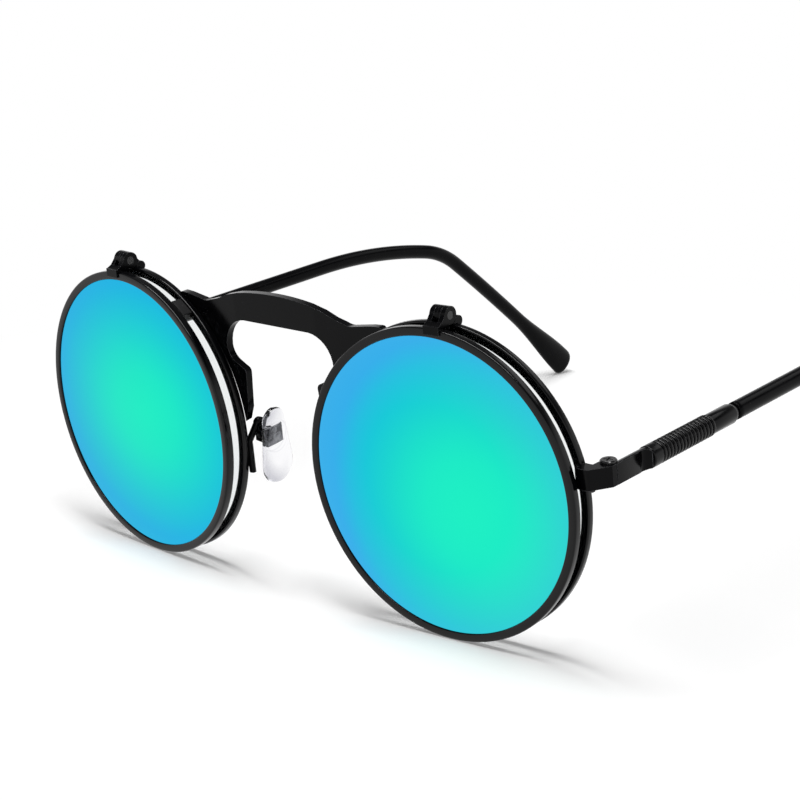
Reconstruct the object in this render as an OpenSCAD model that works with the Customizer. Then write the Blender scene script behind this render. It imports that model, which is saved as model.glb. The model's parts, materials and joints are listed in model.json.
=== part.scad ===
// Flip up sunglasses: two round eyewires joined by a keyhole bridge plate, a second pair of
// mirrored rims hinged in front of them, folding temples with a ribbed sleeve and ear socks.
// Millimetres. +X is the wearer's left, -Y the front, +Z up, and the origin is at the middle of
// the footprint on the surface where the open glasses stand. Pieces are drawn in the lens frame
// (lenses upright, Y = 0 at the front of the flip rims) and tipped onto the surface at the end.

/* [Lenses and rims] */
// Diameter of each lens, edge to edge
lens_d = 50; // [46:0.5:54]
// Distance between the two lenses at the nose
nose_gap = 22.6; // [20:0.2:26]
// Angle by which each lens turns back at its outer edge
wrap_angle = 4.8; // [2:0.2:7]
// Thickness of each lens
lens_t = 1; // [0.8:0.05:1.1]
// Radius of the lens surface
lens_curve_r = 400; // [250:10:900]
// Rim wire width, measured across the face
rim_width = 1.4; // [1.2:0.05:1.8]
// How far the lens edge sits inside the rim groove
groove_depth = 0.5; // [0.4:0.05:0.6]
// Depth of the front (flip) rim from front to back
flip_rim_depth = 1.5; // [1.2:0.05:1.7]
// Depth of the rear (main) rim from front to back
main_rim_depth = 1.3; // [1.15:0.05:1.7]
// Clear gap between the flip rim and the main rim
rim_gap = 2; // [1.8:0.05:2.8]

/* [Bridge plate] */
// Thickness of the stamped bridge plate
plate_t = 1.3; // [1:0.05:1.6]
// How far the middle of the plate sits behind the front of the main rim at the nose
plate_setback = 1.2; // [0.9:0.05:1.3]
// Angle by which the wings of the plate turn back toward the lenses
plate_sweep = 2.5; // [1.5:0.1:3.5]
// Height of the plate's top edge above the lens centres
plate_top = 25.75; // [25:0.05:26.5]
// Height of the solid band between the top edge and the keyhole
plate_band = 5.3; // [4:0.1:6]
// Half width of the keyhole at its widest
keyhole_half = 12.75; // [12:0.05:13.2]
// Distance from the middle to each bend line of the plate
bend_x = 9.5; // [7:0.25:11]

/* [Flip hinge] */
// Distance of the hinge outward from the top of the lens
hinge_out = 1.7; // [0:0.1:3]
// Height of the hinge axis above the outside of the rims
hinge_rise = 1.5; // [1.45:0.05:2.2]
// Radius of the hinge barrel
flip_barrel_r = 1.45; // [1.2:0.05:1.5]
// Length of the hinge barrel
flip_barrel_l = 3; // [2.8:0.1:4]
// Width of the middle knuckle
flip_knuckle_w = 1.15; // [0.9:0.05:1.2]
// Radius of the hinge pin
flip_pin_r = 0.45; // [0.35:0.05:0.5]

/* [End piece and temple hinge] */
// Height of the end piece and of the flat front of the temple
end_piece_h = 3.35; // [3.1:0.05:3.6]
// Height of the temple axis above the lens centres
temple_z = 4.85; // [2:0.05:7]
// Radius of the temple hinge knuckles
knuckle_r = 1.35; // [1.15:0.05:1.4]
// Radius of the temple hinge screw
hinge_screw_r = 0.6; // [0.4:0.05:0.7]
// Angle by which each temple points inward when open
toe_in = 2; // [0:0.5:4]

/* [Temple] */
// Radius of the temple rod that the flat front is milled from
rod_r = 1.7; // [1.65:0.05:1.9]
// Length of the flat front from the hinge seam to the sleeve
bar_l = 7.75; // [7.25:0.25:10]
// Outer radius of the ribbed sleeve
sleeve_r = 1.82; // [1.8:0.02:2]
// Number of ribs on the sleeve
rib_count = 16; // [8:1:20]
// Distance from rib to rib
rib_pitch = 0.87; // [0.7:0.01:1]
// Depth of the grooves between the ribs
rib_depth = 0.24; // [0.1:0.02:0.3]
// Length of the smooth collar behind the sleeve
collar_l = 7.3; // [4:0.2:10]
// Radius of the collar
collar_r = 1.67; // [1.5:0.01:1.75]
// Radius of the wire that runs inside the ear sock
core_r = 0.7; // [0.5:0.05:0.8]
// Radius of the ear sock
sock_r = 1.47; // [1.3:0.02:1.6]
// Length of the straight part of the sock
sock_straight = 33; // [20:1:40]
// Length of the gentle curve over the ear
sweep_l = 30.5; // [25:0.5:45]
// Angle through which the gentle curve turns down
sweep_turn = 15.3; // [8:0.5:18]
// Length of the tight ear bend
bend_l = 10; // [6:0.5:14]
// Angle through which the tight ear bend turns down
bend_turn = 27.5; // [20:0.5:36]
// Length of the drop behind the ear
drop_l = 46.3; // [35:0.5:60]
// Angle through which the drop goes on turning down
drop_turn = 4.6; // [0:0.1:8]
// Half height of the paddle at the end of the sock
paddle_half = 3; // [2.4:0.05:3.4]
// Corner radius of the paddle
paddle_corner = 1.7; // [1.2:0.05:2]

/* [Nose pads] */
// Distance from the middle to the back of each pad
pad_x = 8.3; // [7.8:0.1:8.6]
// Length of each pad from top to bottom
pad_l = 14.2; // [12:0.2:15]
// Width of each pad from front to back
pad_w = 7; // [6:0.1:8]
// Thickness of each pad
pad_t = 2.1; // [1.9:0.05:2.3]
// Lean of each pad toward the nose at its top
pad_lean = 8; // [6:0.5:16]
// Angle by which the foot of each pad stands back toward the face
pad_rake = 7; // [0:0.5:12]
// Width of the flat wire of the pad arm
arm_w = 0.9; // [0.7:0.05:1]

/* [Hidden] */

// Shared clearances: seat between soldered pieces, running fit of a pin, gap between moving faces
seat = 0.02;
fit = 0.05;
gap = 0.1;
// Chamfer on the edges of turned pieces
edge = 0.18;
$fn = 48;

// Rims and lenses
lens_r = lens_d / 2;
lens_cx = (lens_d + nose_gap) / 2;
rim_in = lens_r - groove_depth;
rim_out = rim_in + rim_width;
main_y = flip_rim_depth + rim_gap;
main_back = main_y + main_rim_depth;
rim_split = 0.25;

// Flip hinge, in the frame of one lens: X outward, Y depth, Z up
hinge_y = main_y - 0.5;
hinge_z = rim_out + hinge_rise;
foot_w = flip_barrel_l;
foot_top = rim_out + 0.5;
foot_lip = 0.3;
foot_drop = 0.9;
foot_back = 0.95;
sill_y = 0.75;
sill_z = foot_top + 0.4;
pin_head_r = 0.7;
pin_head_t = 0.15;
lug_r = 0.9;
lug_w = 2.6;

// Temple hinge and end piece, in the lens frame
rim_edge_x = lens_cx + rim_out * cos(wrap_angle);
rim_edge_y = rim_out * sin(wrap_angle);
outer_x = rim_edge_x + 3.4;
front_corner_x = rim_edge_x + 1.6;
front_corner_y = rim_edge_y + main_y - 1.65;
seam_y = rim_edge_y + main_y + 2.7;
pivot_x = outer_x - knuckle_r - 0.3;
pivot_y = seam_y + 0.15;
temple_x = outer_x - 0.3;
end_bottom = temple_z - end_piece_h / 2;
end_top = temple_z + end_piece_h / 2;
split_z = end_bottom - rim_split;
knuckle_h = (end_piece_h - 2 * fit) / 3;
screw_head_r = knuckle_r;
screw_head_t = 0.45;
lock_h = 2;
lock_w = 1.7;
lock_d = 1.6;
lock_screw_r = 0.35;
lock_x = rim_edge_x - 1.15;
lock_y = rim_edge_y + main_back + 0.6;

// Temple stations along its axis, measured from the hinge seam
bar_inner = pivot_x + gap;
scoop_l = 1.3;
flat_l = bar_l - scoop_l - 0.5;
sleeve_y = seam_y + bar_l;
sleeve_lead = 2.1;
sleeve_l = sleeve_lead + rib_count * rib_pitch;
collar_y = sleeve_y + sleeve_l;
collar_cone = 1.3;
sock_y = collar_y + collar_l + 0.2;
core_start = collar_y + collar_l / 2;
core_end_gap = 9;

// Centre line of the ear sock: each leg is [length, angle turned down]
legs = [[sock_straight, 0], [sweep_l, sweep_turn], [bend_l, bend_turn], [drop_l, drop_turn]];
flare_l = 20;
rings_per_leg = [2, 7, 7, 6];
flare_rings = 9;
corner_rings = 6;
sock_sides = 20;
core_sides = 12;

// Where a leg of the centre line ends: [y, z, angle], from its start and the turn within it
function leg_at(start, leg, s) =
    let (turn = leg[1] * s / leg[0])
    leg[1] == 0
        ? [start[0] + s * cos(start[2]), start[1] - s * sin(start[2]), start[2]]
        : let (r = leg[0] * 180 / (PI * leg[1]))
          [start[0] + r * (sin(start[2] + turn) - sin(start[2])),
           start[1] + r * (cos(start[2] + turn) - cos(start[2])),
           start[2] + turn];
function leg_start(i) = i == 0 ? [sock_y, temple_z, 0] : leg_at(leg_start(i - 1), legs[i - 1], legs[i - 1][0]);
function length_before(i) = i == 0 ? 0 : length_before(i - 1) + legs[i - 1][0];
sock_l = length_before(len(legs));
function leg_index(s, i = 0) = i == len(legs) - 1 || s < length_before(i + 1) ? i : leg_index(s, i + 1);
function sock_point(s) = let (i = leg_index(s)) leg_at(leg_start(i), legs[i], s - length_before(i));

// The surface on which the open glasses stand touches the flip rims and the paddles
paddle_back = sock_l - paddle_corner;
paddle_at = sock_point(paddle_back);
paddle_reach = paddle_half - paddle_corner;
low_y = paddle_at[0] - paddle_reach * sin(paddle_at[2]);
low_z = paddle_at[1] - paddle_reach * cos(paddle_at[2]);
high_y = paddle_at[0] + paddle_reach * sin(paddle_at[2]);
high_z = paddle_at[1] + paddle_reach * cos(paddle_at[2]);
function toed_y(y) = pivot_y + (y - pivot_y) * cos(toe_in) + (temple_x - pivot_x) * sin(toe_in);
reach_y = toed_y(low_y) - edge;
reach_z = low_z + rim_out;
stand_tilt = asin(paddle_corner / norm([reach_y, reach_z])) - atan2(reach_z, reach_y);
stand_z = rim_out * cos(stand_tilt) - edge * sin(stand_tilt);
front_reach = norm([sin(wrap_angle) * cos(stand_tilt), sin(stand_tilt)]) * (rim_out - edge);
back_reach = toed_y(high_y) * cos(stand_tilt) - high_z * sin(stand_tilt) + paddle_corner;
stand_y = (back_reach - front_reach) / 2;

// Nose pads, in the lens frame: the pad frame's origin is the pad screw
pad_pivot = [pad_x + 0.95, 5.4, -0.6];
box_d = [1.7, 2.4, 2.3];
box_wall = 0.2;
slot_w = 1.3;
lug_eye_r = 0.55;
pad_clear = 0.2;
pad_drop = [0.95, -2.2];
insert_shift = 0.6;
pad_screw_r = 0.33;
pad_head_t = 0.3;
insert_d = [0.5, 3.3, 3.4];
loop_in_r = 0.18;
arm_t = 1.1;
arm_foot_l = 5.6;

// Points on an arc, counted from the start angle to the end angle
function arc(c, r, a0, a1, n) = [for (i = [0:n]) let (a = a0 + (a1 - a0) * i / n) c + r * [cos(a), sin(a)]];

// Placing modules
module standing() {
    translate([0, -stand_y, stand_z]) rotate([stand_tilt, 0, 0]) children();
}
module side(s) {
    mirror([s < 0 ? 1 : 0, 0, 0]) children();
}
module at_lens() {
    translate([lens_cx, 0, 0]) rotate([0, 0, wrap_angle]) children();
}
module turned() {
    rotate([-90, 0, 0]) rotate_extrude($fn = 144) children();
}
module at_hinge() {
    at_lens() translate([hinge_out, 0, 0]) children();
}
module across(l, r, fn = 48) {
    rotate([0, 90, 0]) cylinder(h = l, r = r, center = true, $fn = fn);
}
// Extrudes a Y-Z outline along X, centred
module side_profile(w) {
    rotate([90, 0, 90]) linear_extrude(w, center = true) children();
}

// Section of a rim: a flat wire with chamfered edges and a groove for the lens
module rim_section(y0, d) {
    mouth = 0.36;
    root = 0.14;
    mid = y0 + d / 2;
    polygon([
        [rim_in, y0 + edge / 2], [rim_in + edge / 2, y0], [rim_out - edge, y0], [rim_out, y0 + edge],
        [rim_out, y0 + d - edge], [rim_out - edge, y0 + d], [rim_in + edge / 2, y0 + d],
        [rim_in, y0 + d - edge / 2], [rim_in, mid + mouth], [lens_r + seat, mid + root],
        [lens_r + seat, mid - root], [rim_in, mid - mouth]
    ]);
}
// Section of a lens: a thin dish with a bevelled edge that sits in the groove
module lens_section(mid) {
    steps = 10;
    shoulder = rim_in - fit;
    function sag(r) = mid - (lens_r * lens_r - r * r) / (2 * lens_curve_r);
    face = [for (i = [0:steps]) let (r = shoulder * i / steps) [r, sag(r)]];
    front = [for (p = face) p - [0, lens_t / 2]];
    back = [for (i = [steps:-1:0]) face[i] + [0, lens_t / 2]];
    bevel = [[shoulder, mid - 0.33], [lens_r - seat, mid - 0.1], [lens_r - seat, mid + 0.1], [shoulder, mid + 0.33]];
    polygon(concat(front, bevel, back));
}

// Room that a piece soldered to the main rim leaves for it
module main_ring() {
    turned() translate([rim_in - seat, main_y - seat]) square([rim_width, main_rim_depth] + 2 * [seat, seat]);
}
module main_rim() {
    color("#1b1b1e") at_lens() difference() {
        turned() rim_section(main_y, main_rim_depth);
        translate([rim_in - 1, main_y - 1, split_z - rim_split / 2]) cube([4, main_rim_depth + 2, rim_split]);
    }
}
module flip_rim() {
    color("#1b1b1e") at_lens() turned() rim_section(0, flip_rim_depth);
}
module clear_lens() {
    color("#dfe9ec", 0.35) at_lens() turned() lens_section(main_y + main_rim_depth / 2);
}
module mirror_lens() {
    color("#24c8d0") at_lens() turned() lens_section(flip_rim_depth / 2);
}

// A list of points followed by its mirror image, which closes a symmetric outline
function both_sides(pts) = concat(pts, [for (i = [len(pts) - 1:-1:0]) [-pts[i][0], pts[i][1]]]);

// Outline of the bridge plate: from the top middle round the horn, along the rim and back up the keyhole
module plate_outline() {
    crown_r = 60;
    valley = [17.2, plate_top + 0.35];
    valley_r = 3.4;
    horn = [lens_cx - 12.9, plate_top - 3.1];
    horn_r = 0.75;
    keyhole_top = plate_top - plate_band;
    corner_r = 5.2;
    waist = [9.55, 11];
    polygon(both_sides(concat(
        arc([0, plate_top - crown_r], crown_r, 89.9, 81.8, 5),
        [[11.4, plate_top - 1.3], [13.8, plate_top - 2.25]],
        arc(valley, valley_r, 247, 282, 5),
        [horn + [-1.7, horn_r - 0.1]],
        arc(horn, horn_r, 95, -20, 5),
        [[lens_cx - 8, 22.2], [lens_cx, 12], [lens_cx - 6, 0]],
        [[lens_cx - rim_out + 0.15, 1.3], [9.1, 4.8], [8.75, 9.1]],
        arc(waist, 0.95, 180, 105, 4),
        arc([keyhole_half - 2.9, 15.4], 2.9, -65, -8, 5),
        arc([keyhole_half - corner_r, keyhole_top - corner_r], corner_r, 0, 88, 8)
    )));
}
// Plan of the bent strip that the plate is cut from: a flat middle and two wings turned back
module plate_plan() {
    wing = 30;
    roll = 8;
    ahead = 270;
    start = main_y - rim_edge_y + plate_setback;
    middle = [bend_x, start + roll];
    out = wing * [cos(plate_sweep), sin(plate_sweep)];
    front = arc(middle, roll, ahead, ahead + plate_sweep, 4);
    back = arc(middle, roll - plate_t, ahead + plate_sweep, ahead, 4);
    polygon(both_sides(concat(front, [front[4] + out, back[0] + out], back)));
}
module bridge_plate() {
    reach = 40;
    color("#242528") difference() {
        intersection() {
            rotate([90, 0, 0]) linear_extrude(reach, center = true) plate_outline();
            translate([0, 0, -5]) linear_extrude(reach) plate_plan();
        }
        for (s = [1, -1]) side(s) at_lens() turned() translate([0, -10]) square([rim_out + seat, 30]);
    }
}

// Rear half of the flip hinge: middle knuckle, web and a saddle with a rolled lug on the main rim
module hinge_post() {
    web_low = rim_out + seat;
    lug_y = main_back + 0.35;
    lug_z = rim_out;
    color("#1f2022") at_hinge() difference() {
        union() {
            translate([0, hinge_y, hinge_z]) across(flip_knuckle_w, flip_barrel_r);
            side_profile(flip_knuckle_w) polygon([
                [hinge_y, hinge_z - flip_barrel_r + 0.3], [main_y - 0.1, web_low], [lug_y, web_low],
                [lug_y + 0.3, lug_z + lug_r - 0.1], [hinge_y + 1.1, hinge_z + 0.85], [hinge_y, hinge_z]
            ]);
            translate([0, lug_y, lug_z]) across(lug_w, lug_r);
            translate([-lug_w / 2, main_y + 0.35, web_low - 0.4]) cube([lug_w, lug_y - main_y - 0.35, 0.5]);
        }
        translate([-hinge_out, 0, 0]) turned() translate([0, main_y - 3]) square([rim_out + seat, main_rim_depth + 3 + seat]);
        translate([-hinge_out, 0, 0]) turned() translate([0, main_y - 3]) square([rim_in, 12]);
        translate([0, hinge_y, hinge_z]) across(flip_barrel_l, flip_pin_r + fit);
        translate([0, hinge_y, hinge_z]) rotate([0, 90, 0]) rotate_extrude() translate([flip_barrel_r - 0.12, -0.05]) square([1, 0.1]);
    }
}
// Front half of the flip hinge: two ears on a foot that saddles the flip rim
module flip_bracket() {
    ear_w = (flip_barrel_l - flip_knuckle_w) / 2 - gap / 2;
    ear_x = flip_barrel_l / 2 - ear_w / 2;
    color("#1f2022") at_hinge() difference() {
        union() {
            for (s = [1, -1]) translate([s * ear_x, 0, 0]) {
                translate([0, hinge_y, hinge_z]) across(ear_w, flip_barrel_r);
                side_profile(ear_w) polygon([
                    [-foot_lip, foot_top - 0.1], [sill_y, sill_z],
                    [hinge_y - flip_barrel_r * cos(15), hinge_z + flip_barrel_r * sin(15)],
                    [hinge_y, hinge_z], [hinge_y + 0.3, hinge_z - flip_barrel_r * 0.97],
                    [flip_rim_depth + foot_back, foot_top - 0.3], [0, foot_top - 0.4]
                ]);
            }
            side_profile(foot_w) polygon([
                [-foot_lip, foot_top - 0.1], [sill_y, sill_z], [flip_rim_depth, sill_z - 0.1], [flip_rim_depth, foot_top - 0.2]
            ]);
            translate([-foot_w / 2, -foot_lip, rim_out - foot_drop]) cube([foot_w, foot_lip + flip_rim_depth + foot_back, foot_drop + foot_top - rim_out]);
        }
        translate([-hinge_out, 0, 0]) turned() translate([0, -seat]) square([rim_out + seat, flip_rim_depth + 2 * seat]);
        translate([0, hinge_y, hinge_z]) across(flip_knuckle_w + gap, flip_barrel_r + gap);
        translate([0, hinge_y, hinge_z]) across(flip_barrel_l + 1, flip_pin_r + seat);
        for (s = [1, -1]) translate([s * flip_barrel_l / 2, hinge_y, hinge_z]) across(2 * pin_head_t + 0.1, pin_head_r + fit);
    }
}
module flip_pin() {
    head_x = flip_barrel_l / 2 - pin_head_t / 2 - fit;
    slot = [0.08, 0.22, 1];
    color("#3a3b3e") at_hinge() translate([0, hinge_y, hinge_z]) difference() {
        union() {
            across(flip_barrel_l - 2 * pin_head_t, flip_pin_r);
            for (s = [1, -1]) translate([s * head_x, 0, 0]) across(pin_head_t, pin_head_r);
        }
        for (a = [0, 90]) translate([-head_x - pin_head_t / 2, 0, 0]) rotate([a + 30, 0, 0]) cube(slot + [slot[0], 0, 0], center = true);
    }
}
// Rubber block on the back of the flip rim that meets the main rim on the nose side
module bumper() {
    angle = 56;
    arc_l = 3.7;
    half = arc_l / 2 / rim_out * 180 / PI;
    color("#232527") at_lens() rotate([0, 180 + angle, 0]) rotate([-90, 0, 0])
        translate([0, 0, flip_rim_depth + seat]) rotate([0, 0, -half])
            rotate_extrude(angle = 2 * half, $fn = 144) translate([rim_in + 0.15, 0]) square([rim_width - 0.25, rim_gap - gap]);
}

// Block that wraps from the main rim to the temple seam and carries two hinge knuckles
module end_piece() {
    round_r = 0.7;
    color("#1d1d20") difference() {
        union() {
            translate([0, 0, end_bottom]) linear_extrude(end_piece_h) polygon(concat(
                [[rim_edge_x - 1.1, front_corner_y]],
                arc([front_corner_x - round_r, front_corner_y + round_r], round_r, 270, 345, 5),
                [[outer_x, seam_y - 1], [outer_x, seam_y - fit], [pivot_x - knuckle_r, seam_y - fit]],
                [[pivot_x - knuckle_r, seam_y - 1.9], [rim_edge_x - 1.1, seam_y - 1.9]]
            ));
            for (z = [end_bottom, end_top - knuckle_h]) translate([pivot_x, pivot_y, z]) cylinder(h = knuckle_h, r = knuckle_r);
        }
        at_lens() main_ring();
        at_lens() turned() translate([0, main_y - 3]) square([rim_in + 0.1, 12]);
        translate([pivot_x, pivot_y, end_bottom + knuckle_h]) cylinder(h = knuckle_h + 2 * fit, r = knuckle_r + gap);
        translate([pivot_x, pivot_y, end_bottom - 1]) cylinder(h = end_piece_h + 2, r = hinge_screw_r + seat);
    }
}
module temple_screw() {
    color("#3d3e41") translate([pivot_x, pivot_y, 0]) difference() {
        union() {
            translate([0, 0, end_bottom]) cylinder(h = end_piece_h + seat, r = hinge_screw_r);
            translate([0, 0, end_top + seat]) cylinder(h = screw_head_t - edge, r = screw_head_r);
            translate([0, 0, end_top + seat + screw_head_t - edge]) cylinder(h = edge, r1 = screw_head_r, r2 = screw_head_r - edge);
        }
        for (a = [20, 110]) translate([0, 0, end_top + screw_head_t]) rotate([0, 0, a]) cube([1.5, 0.34, 0.5], center = true);
    }
}
// Two small blocks behind the split in the main rim, closed by a screw
module rim_lock() {
    color("#1d1d20") difference() {
        for (z = [split_z - lock_h / 2, split_z + rim_split / 2])
            translate([lock_x - lock_w / 2, lock_y - lock_d / 2, z]) cube([lock_w, lock_d, (lock_h - rim_split) / 2]);
        at_lens() main_ring();
        at_lens() turned() translate([0, main_y]) square([rim_in, main_rim_depth + 0.4]);
        translate([lock_x, lock_y, 0]) cylinder(h = 20, r = lock_screw_r + seat);
    }
}
module rim_screw() {
    color("#3d3e41") translate([lock_x, lock_y, split_z - lock_h / 2]) difference() {
        union() {
            cylinder(h = lock_h, r = lock_screw_r);
            translate([0, 0, -0.35 - seat]) cylinder(h = 0.35 + seat, r = 0.6);
        }
        translate([0, 0, -0.35]) cube([1.4, 0.16, 0.3], center = true);
    }
}

// Moves a temple piece to the angle at which the temple stands open
module toed() {
    translate([pivot_x, pivot_y, 0]) rotate([0, 0, toe_in]) translate([-pivot_x, -pivot_y, 0]) children();
}
module along(y) {
    translate([temple_x, y, temple_z]) rotate([-90, 0, 0]) children();
}
// Rod milled flat outside and inside, with a scooped run-out and the middle hinge knuckle
module temple_bar() {
    scoop_r = 1.6;
    scoop_dip = 0.12;
    mid_z = end_bottom + knuckle_h + fit;
    color("#1d1d20") toed() difference() {
        union() {
            difference() {
                along(seam_y + fit) cylinder(h = bar_l - fit, r = rod_r);
                translate([outer_x, seam_y - 1, end_bottom - 1]) cube([4, flat_l + 1, end_piece_h + 2]);
                translate([outer_x + scoop_r - scoop_dip, seam_y + flat_l + 0.3, end_bottom - 1]) cylinder(h = end_piece_h + 2, r = scoop_r);
                translate([bar_inner - 4, seam_y - 1, end_bottom - 1]) cube([4, bar_l - 1.5, end_piece_h + 2]);
                for (z = [end_bottom - 1, end_top - knuckle_h - fit])
                    translate([pivot_x, pivot_y, z]) cylinder(h = knuckle_h + 1 + fit, r = knuckle_r + gap);
            }
            translate([pivot_x, pivot_y, mid_z]) cylinder(h = knuckle_h, r = knuckle_r);
            translate([pivot_x, pivot_y, mid_z]) cube([outer_x - pivot_x - 0.2, knuckle_r + 0.6, knuckle_h]);
        }
        translate([pivot_x, pivot_y, end_bottom - 1]) cylinder(h = end_piece_h + 2, r = hinge_screw_r + fit);
    }
}
module ribbed_sleeve() {
    land = rib_pitch * 0.55;
    color("#1b1b1d") toed() along(sleeve_y + seat) rotate_extrude($fn = 60) polygon(concat(
        [[0, 0], [sleeve_r - edge, 0], [sleeve_r, edge], [sleeve_r, sleeve_lead]],
        [for (i = [0:rib_count - 1]) let (y = sleeve_lead + i * rib_pitch)
            each [[sleeve_r - rib_depth, y + 0.1], [sleeve_r - rib_depth, y + rib_pitch - land - 0.1],
                  [sleeve_r, y + rib_pitch - land], [sleeve_r, y + rib_pitch - 0.02]]],
        [[0, sleeve_l - 0.02]]
    ));
}
module collar() {
    throat = core_r + 0.55;
    color("#1b1b1d") toed() along(collar_y) rotate_extrude($fn = 60) polygon([
        [0, 0], [collar_r, 0], [collar_r, collar_l - collar_cone], [throat, collar_l],
        [core_r + seat, collar_l], [core_r + seat, core_start - collar_y - seat], [0, core_start - collar_y - seat]
    ]);
}

// Half height of the sock at a distance along its centre line: round, flared to a paddle with round corners
function flare(s) = let (t = min(1, max(0, (s - (paddle_back - flare_l)) / flare_l))) sock_r + (paddle_half - sock_r) * t * t * (3 - 2 * t);
function rounded(full, r, s) = s <= sock_l - r ? full : full - r + sqrt(max(0, r * r - pow(s - (sock_l - r), 2)));
function sock_stations() = concat(
    [for (i = [0:2]) each [for (k = [0:rings_per_leg[i] - 1]) length_before(i) + legs[i][0] * k / rings_per_leg[i]]],
    [for (k = [0:rings_per_leg[3] - 1]) length_before(3) + (paddle_back - flare_l - length_before(3)) * k / rings_per_leg[3]],
    [for (k = [0:flare_rings - 1]) paddle_back - flare_l + flare_l * k / flare_rings],
    [for (k = [0:corner_rings]) paddle_back + paddle_corner * sin(90 * k / corner_rings)]
);
// One ring of points across the centre line
function ring(s, half_h, half_w, sides) = let (p = sock_point(s))
    [for (k = [0:sides - 1]) let (a = 360 * k / sides, h = half_h * sin(a))
        [temple_x + half_w * cos(a), p[0] + h * sin(p[2]), p[1] + h * cos(p[2])]];
function band(base, sides, flip) = [for (k = [0:sides - 1]) let (a = base + k, b = base + (k + 1) % sides)
    each flip ? [[a, b, b + sides], [a, b + sides, a + sides]] : [[a, b + sides, b], [a, a + sides, b + sides]]];

// Closed tube of rings with flat ends
module rings(list, sides) {
    n = len(list);
    polyhedron(
        points = [for (r = list) each r],
        faces = concat(
            [[for (k = [0:sides - 1]) k]],
            [for (i = [0:n - 2]) each band(i * sides, sides, false)],
            [[for (k = [sides - 1:-1:0]) (n - 1) * sides + k]]
        ),
        convexity = 4
    );
}
core_stop = sock_l - core_end_gap;
function core_stations() = concat([core_start - sock_y, 0], [for (s = sock_stations()) if (s > 0 && s < core_stop - 0.5) s], [core_stop]);
module core_wire() {
    color("#55565a") toed() rings([for (s = core_stations()) ring(s, core_r, core_r, core_sides)], core_sides);
}
// Moulded sleeve over the core wire, with a bore that stops short of the paddle's end
module ear_sock() {
    outside = [for (s = sock_stations()) ring(s, rounded(flare(s), paddle_corner, s), rounded(sock_r, 1.1, s), sock_sides)];
    bore_r = core_r + fit;
    inside = [for (s = core_stations()) if (s >= 0) ring(s + (s >= core_stop ? 0.3 : 0), bore_r, bore_r, sock_sides)];
    n = len(outside);
    m = len(inside);
    k0 = n * sock_sides;
    color("#202023") toed() polyhedron(
        points = [for (r = concat(outside, inside)) each r],
        faces = concat(
            [for (i = [0:n - 2]) each band(i * sock_sides, sock_sides, false)],
            [[for (k = [sock_sides - 1:-1:0]) (n - 1) * sock_sides + k]],
            [for (i = [0:m - 2]) each band(k0 + i * sock_sides, sock_sides, true)],
            [[for (k = [0:sock_sides - 1]) k0 + (m - 1) * sock_sides + k]],
            [for (k = [0:sock_sides - 1]) let (j = (k + 1) % sock_sides) each [[k, j, k0 + j], [k, k0 + j, k0 + k]]]
        ),
        convexity = 6
    );
}

// Nose pad pieces
module at_pad() {
    translate(pad_pivot) rotate([pad_rake, 0, 0]) rotate([0, -pad_lean, 0]) children();
}
// Flat wire: a foot along the back of the main rim, a loop, and a strand down to the pad box
module pad_arm() {
    foot = [lens_cx - rim_out - 0.05, main_back - rim_out * sin(wrap_angle) + 0.25, -4.3];
    loop_x = pad_pivot[0] + 0.2;
    loop_mid_r = loop_in_r + arm_w / 2;
    box_top = pad_pivot + [0.15, 0, box_d[2] / 2 + 0.05];
    loop = [loop_x, box_top[1] - loop_mid_r, 1.4];
    module slab(at) {
        translate(at) cube([arm_t, arm_w, 0.02], center = true);
    }
    color("#1d1d20") difference() {
        union() {
            translate(foot) cube([arm_t, arm_w, arm_foot_l], center = true);
            hull() {
                slab(foot + [0, 0, arm_foot_l / 2]);
                slab(loop - [0, loop_mid_r, 0]);
            }
            translate(loop) rotate([90, 0, 90]) rotate_extrude(angle = 180) translate([loop_in_r, -arm_t / 2]) square([arm_w, arm_t]);
            hull() {
                slab(loop + [0, loop_mid_r, 0]);
                slab(box_top);
            }
        }
        at_lens() main_ring();
        at_pad() cube(box_d + 2 * [seat, seat, seat], center = true);
    }
}
module pad_box() {
    color("#2b2c2f") at_pad() difference() {
        cube(box_d, center = true);
        translate([-box_wall, 0, 0]) cube([box_d[0], slot_w, box_d[2] + 1], center = true);
        rotate([90, 0, 0]) cylinder(h = box_d[1] + 1, r = pad_screw_r + seat, center = true, $fn = 32);
    }
}
module pad_screw() {
    color("#3d3e41") at_pad() rotate([-90, 0, 0]) difference() {
        union() {
            cylinder(h = box_d[1] + 2 * seat, r = pad_screw_r, center = true, $fn = 32);
            translate([0, 0, box_d[1] / 2 + seat]) cylinder(h = pad_head_t, r = 0.6, $fn = 32);
        }
        translate([0, 0, box_d[1] / 2 + pad_head_t]) cube([1.4, 0.16, 0.3], center = true);
    }
}
insert_x = -box_d[0] / 2 - 0.7;
module insert_shape(grow = 0) {
    translate([insert_x, insert_shift, 0]) cube(insert_d + 2 * [grow, grow, grow], center = true);
    translate([insert_x / 2, 0, 0]) cube([-insert_x, slot_w - 2 * gap + 2 * grow, 2 * lug_eye_r], center = true);
}
module pad_insert() {
    color("#8c8f93") at_pad() difference() {
        union() {
            insert_shape();
            rotate([90, 0, 0]) cylinder(h = slot_w - 2 * gap, r = lug_eye_r, center = true, $fn = 32);
        }
        rotate([90, 0, 0]) cylinder(h = slot_w + 1, r = pad_screw_r + fit, center = true, $fn = 32);
    }
}
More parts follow.
